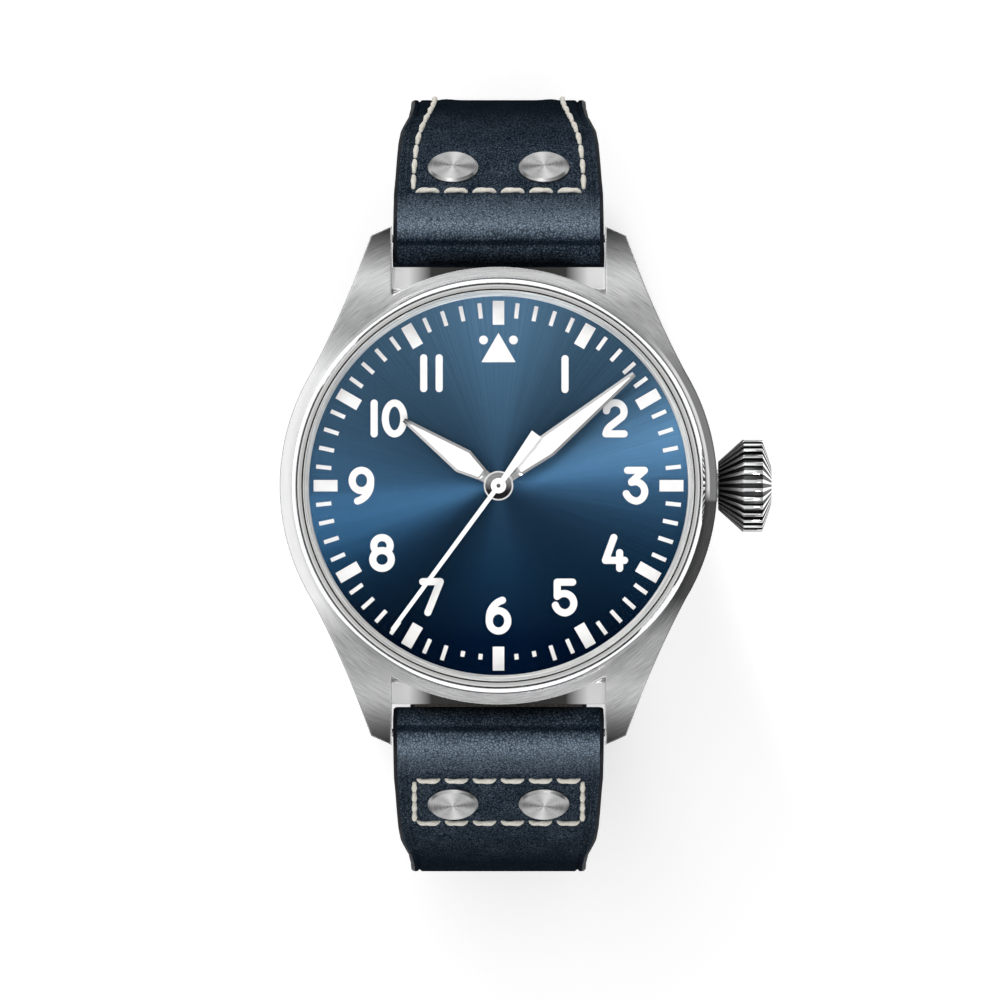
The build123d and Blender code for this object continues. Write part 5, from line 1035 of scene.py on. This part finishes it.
drills = [bore("bar_bore", bar_bore_radius, bar_y, bar_z)]
drills.append(bore("buckle_bore", buckle_bore_radius, buckle_bar_y, buckle_bar_z))
drills.append(tang_slot())
drill_out(leather_buckle_half, drills)
drills = [bore("bar_bore", bar_bore_radius, -bar_y, bar_z)]
for hole in range(hole_count):
    hole_y = hole_first_y - hole * hole_pitch
    drills.append(cutter("strap_hole", hole_radius, *[(0, hole_y, z) for z in hole_drill]))
drill_out(leather_long_half, drills)

for piece, body, node in (
    (leather_buckle_half, "strap_buckle_half", "strap_buckle_half"),
    (leather_long_half, "strap_long_half", "strap_long_half"),
):
    smooth_below(piece, 40)
    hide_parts(node)
    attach(piece, body)


# Thread. One stitch is made along X, a millimetre long, and stretched to each seat.

stitch_round = 10
stitch_steps = 12
twist = 11.0
twist_depth = 0.15


def thread_point(column, row):
    """A twisted stitch that swells in its middle and dips into the leather at its ends."""
    along = row / stitch_steps - 0.5
    reach = abs(2 * along)
    turn = 2 * pi * (column % stitch_round) / stitch_round
    twisted = 1 + twist_depth * cos(2 * turn + twist * along)
    radius = thread_radius * sqrt(max(0.0, 1 - reach**5)) * twisted
    height = stitch_lift - (stitch_lift + stitch_dip) * reach**4
    return Vector((along * MM, radius * cos(turn) * MM, (height + radius * sin(turn)) * MM))


def on_strap(stations, distance, x, side, inside=False):
    """A point on the strap and the way it faces, at this distance from the roll."""
    (point, face, thickness), run = station_at(stations, distance)
    point = point - along_from(face) * (run - distance)
    if inside:
        point = point - face * thickness
        face = -face
    return Vector((x, side * point.x, point.y)), Vector((0, side * face.x, face.y))


def row_across(distance, half):
    """Seats of a row from edge to edge: the x and the distance of each stitch's two ends."""
    pitch = 2 * half / stitches_in_row
    starts = [-half + pitch * step for step in range(stitches_in_row)]
    return [tuple((start + share * pitch, distance) for share in stitch_ends) for start in starts]


def rows_down(stations, start, end, count, tail):
    """Seats of the two side rows between two distances."""
    seats = []
    pitch = (end - start) / count
    for step in range(count):
        ends = []
        for share in stitch_ends:
            distance = start + pitch * (step + share)
            (point, _, _), _ = station_at(stations, distance)
            ends.append((side_row(point.y, tail), distance))
        seats.append(tuple(ends))
        seats.append(tuple((-x, distance) for x, distance in ends))
    return seats


def sewn(name, stations, seats, side):
    """Copies of the one stitch on both faces of the leather."""
    stitch = wrapped_grid("stitch", stitch_round, stitch_steps, thread_point, lambda column, row: 0)
    copies = []
    for (start_x, start_run), (end_x, end_run) in seats:
        for inside in (False, True):
            start, out = on_strap(stations, start_run, start_x, side, inside)
            end, _ = on_strap(stations, end_run, end_x, side, inside)
            along = end - start
            across = out.cross(along).normalized()
            lift = along.cross(across).normalized()
            seat = Matrix((along, across, lift)).transposed().to_4x4()
            seat.translation = (start + end) / 2 * MM
            copy = stitch.copy()
            copy.data = stitch.data.copy()
            copy.data.transform(seat)
            bpy.context.scene.collection.objects.link(copy)
            copies.append(copy)
    bpy.data.objects.remove(stitch)
    thread = joined(name, copies)
    dress(thread, thread_cream)
    pick(thread)
    bpy.ops.object.shade_smooth()
    return thread


buckle_total = run_of(buckle_stations)[-cap_steps - 1]
side_end = buckle_total - buckle_row
side_count = round((side_end - row_low) / side_pitch)
upper_seats = row_across(row_low, side_rows[0][1])
upper_seats += rows_down(buckle_stations, row_low + row_clearance, side_end, side_count, False)
upper_seats += row_across(side_end, side_rows[-1][1])
lower_seats = row_across(row_low, lower_row_x) + row_across(row_high, lower_row_x)
lower_seats += rows_down(
    long_stations, row_low + row_clearance, row_high - row_clearance, lower_side_stitches, True
)
for name, stations, seats, side, body in (
    ("upper_stitches", buckle_stations, upper_seats, 1, "strap_buckle_half"),
    ("lower_stitches", long_stations, lower_seats, -1, "strap_long_half"),
):
    thread = sewn(name, stations, seats, side)
    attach(thread, body)


# Keepers: a band of leather closed into a loop, with painted edges. Its section is pairs of a place
# along the strap and a height over the band's middle.

bend_steps = 5
face_steps = 16
side_steps = 5


def keeper_loop():
    """The middle of the band round the strap: (x, height, way out x, way out height)."""
    found = []
    right = keeper_half_width - keeper_bend
    high = keeper_high - keeper_bend
    low = keeper_low + keeper_bend
    corners = ((right, high, 0), (-right, high, 90), (-right, low, 180), (right, low, 270))
    for index, (x, height, turn) in enumerate(corners):
        for step in range(bend_steps + 1):
            angle = radians(turn + 90 * step / bend_steps)
            out_x, out_height = cos(angle), sin(angle)
            found.append((x + keeper_bend * out_x, height + keeper_bend * out_height, out_x, out_height))
        last_x, last_height, out_x, out_height = found[-1]
        next_x, next_height, next_turn = corners[(index + 1) % 4]
        to_x = next_x + keeper_bend * cos(radians(next_turn)) - last_x
        to_height = next_height + keeper_bend * sin(radians(next_turn)) - last_height
        count = side_steps if index % 2 else face_steps
        for step in range(1, count):
            share = step / count
            found.append((last_x + to_x * share, last_height + to_height * share, out_x, out_height))
    return found


half_wall = keeper_wall / 2
keeper_section = [
    (0.35, half_wall), (0.65, half_wall), (0.8, half_wall - 0.1), (0.95, half_wall), (1.7, half_wall + 0.03),
    (2.5, half_wall + 0.04), (3.3, half_wall + 0.03), (4.05, half_wall), (4.2, half_wall - 0.1),
    (4.35, half_wall), (4.65, half_wall), (4.86, half_wall - 0.1), (4.96, half_wall - 0.28), (5.0, 0.0),
    (4.96, 0.28 - half_wall), (4.86, 0.1 - half_wall), (4.65, -half_wall), (2.5, -half_wall),
    (0.35, -half_wall), (0.14, 0.1 - half_wall), (0.04, 0.28 - half_wall), (0.0, 0.0),
    (0.04, half_wall - 0.28), (0.14, half_wall - 0.1),
]
keeper_outer_faces = 10
keeper_lining_faces = (16, 17)


def make_keeper(name, seat):
    """A keeper. Seat turns a height and a place along the strap into a point of the side view."""
    loop = keeper_loop()

    def place(column, row):
        x, height, out_x, out_height = loop[column % len(loop)]
        along, off = keeper_section[row % len(keeper_section)]
        side_view = seat(height + out_height * off, along)
        return Vector(((x + out_x * off) * MM, side_view.x * MM, side_view.y * MM))

    def paint(column, row):
        if row < keeper_outer_faces:
            return 0
        return 2 if row in keeper_lining_faces else 1

    band = wrapped_grid(name, len(loop), len(keeper_section), place, paint)
    dress(band, leather_navy, edge_paint, leather_lining)
    smooth_below(band, 50)
    return band


def fixed_seat(height, along):
    """Round the buckle half, close to its bar."""
    bar = Vector((buckle_bar_y, buckle_bar_z))
    from_bar = fixed_keeper_start + along
    return bar - facing(buckle_end_tilt) * height + facing(buckle_end_tilt + 90) * from_bar


def free_seat(height, along):
    """Round the bend of the buckle half."""
    raised = height + (free_keeper_gap if height > 0 else 0.0)
    tilt = free_keeper_tilt - free_keeper_turn * along / keeper_length
    corner = Vector((side_centre_y + side_radius - buckle_corner_radius, side_centre_z))
    return corner + facing(tilt) * (free_keeper_radius - raised)


for name, seat, body, node in (
    ("leather_fixed_keeper", fixed_seat, "strap_buckle_half", "fixed_keeper"),
    ("leather_free_keeper", free_seat, "free_keeper", "free_keeper"),
):
    band = make_keeper(name, seat)
    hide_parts(node)
    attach(band, body)


# Stage, lamps and camera

floor_drop = 0.02
floor_glow = 0.36
lamp_target = Vector((0, 0, 0.05))
world_greys = ((0.0, 0.04), (0.3, 0.1), (0.42, 0.75), (0.62, 0.85), (0.78, 0.55), (1.0, 0.8))


def make_floor():
    """A white floor that glows a little where it is looked at, and lights nothing."""
    deselect()
    bpy.ops.mesh.primitive_plane_add(size=6.0, location=(0, 0, -floor_drop * MM))
    floor_plane = bpy.context.object
    floor_plane.name = "studio_floor"
    material, shader, _ = finish("studio_floor_white", grey(0.93), 0.0, 0.9)
    rays = add("LightPath", tree=shader.id_data).outputs
    seen = maths("MAXIMUM", rays["Is Glossy Ray"], rays["Is Transmission Ray"])
    seen = maths("MAXIMUM", rays["Is Camera Ray"], seen)
    shader.inputs["Emission Color"].default_value = (1.0, 1.0, 1.0, 1.0)
    feed(shader, "Emission Strength", product(seen, floor_glow))
    dress(floor_plane, material)


def make_world():
    """A grey room that is brighter on its left, and white where the camera sees it."""
    world = bpy.data.worlds.new("studio_light")
    bpy.context.scene.world = world
    world.use_nodes = True
    tree = world.node_tree
    background = tree.nodes["Background"]
    x, _, z = axes(add("TexCoord", tree=tree).outputs["Generated"])
    room = colour_ramp(z, [(at, grey(level)) for at, level in world_greys])
    sided = blend(1.0, room, span(x, -0.6, 0.6, 1.3, 0.6), "MULTIPLY")
    seen = add("LightPath", tree=tree).outputs["Is Camera Ray"]
    feed(background, "Color", blend(seen, sided, grey(1.0)))


def lamp(name, place, size, power):
    """A softbox that points at the watch."""
    light = bpy.data.lights.new(name, "AREA")
    light.shape = "RECTANGLE"
    light.size, light.size_y = size
    light.energy = power
    made = bpy.data.objects.new(name, light)
    bpy.context.scene.collection.objects.link(made)
    made.location = place
    made.rotation_euler = (lamp_target - Vector(place)).to_track_quat("-Z", "Y").to_euler()


def make_camera():
    """Straight above, and so far off that the watch looks almost flat."""
    camera = bpy.data.cameras.new("camera")
    camera.lens = 733.0
    camera.sensor_width = 36.0
    camera.shift_x = 0.0015
    camera.shift_y = -0.0143
    camera.clip_start = 0.01
    made = bpy.data.objects.new("camera", camera)
    bpy.context.scene.collection.objects.link(made)
    made.location = (0, 0, 2.0554)
    bpy.context.scene.camera = made


make_floor()
make_world()
lamp("softbox_top", (-0.17, 0.6, 0.8), (0.6, 0.4), 0.4)
lamp("softbox_streak", (-0.17, 0.6, 0.8), (0.08, 0.3), 2.5)
lamp("softbox_fill", (0.17, -0.6, 0.8), (0.25, 0.3), 1.9)
make_camera()
bpy.context.scene.view_settings.view_transform = "Standard"
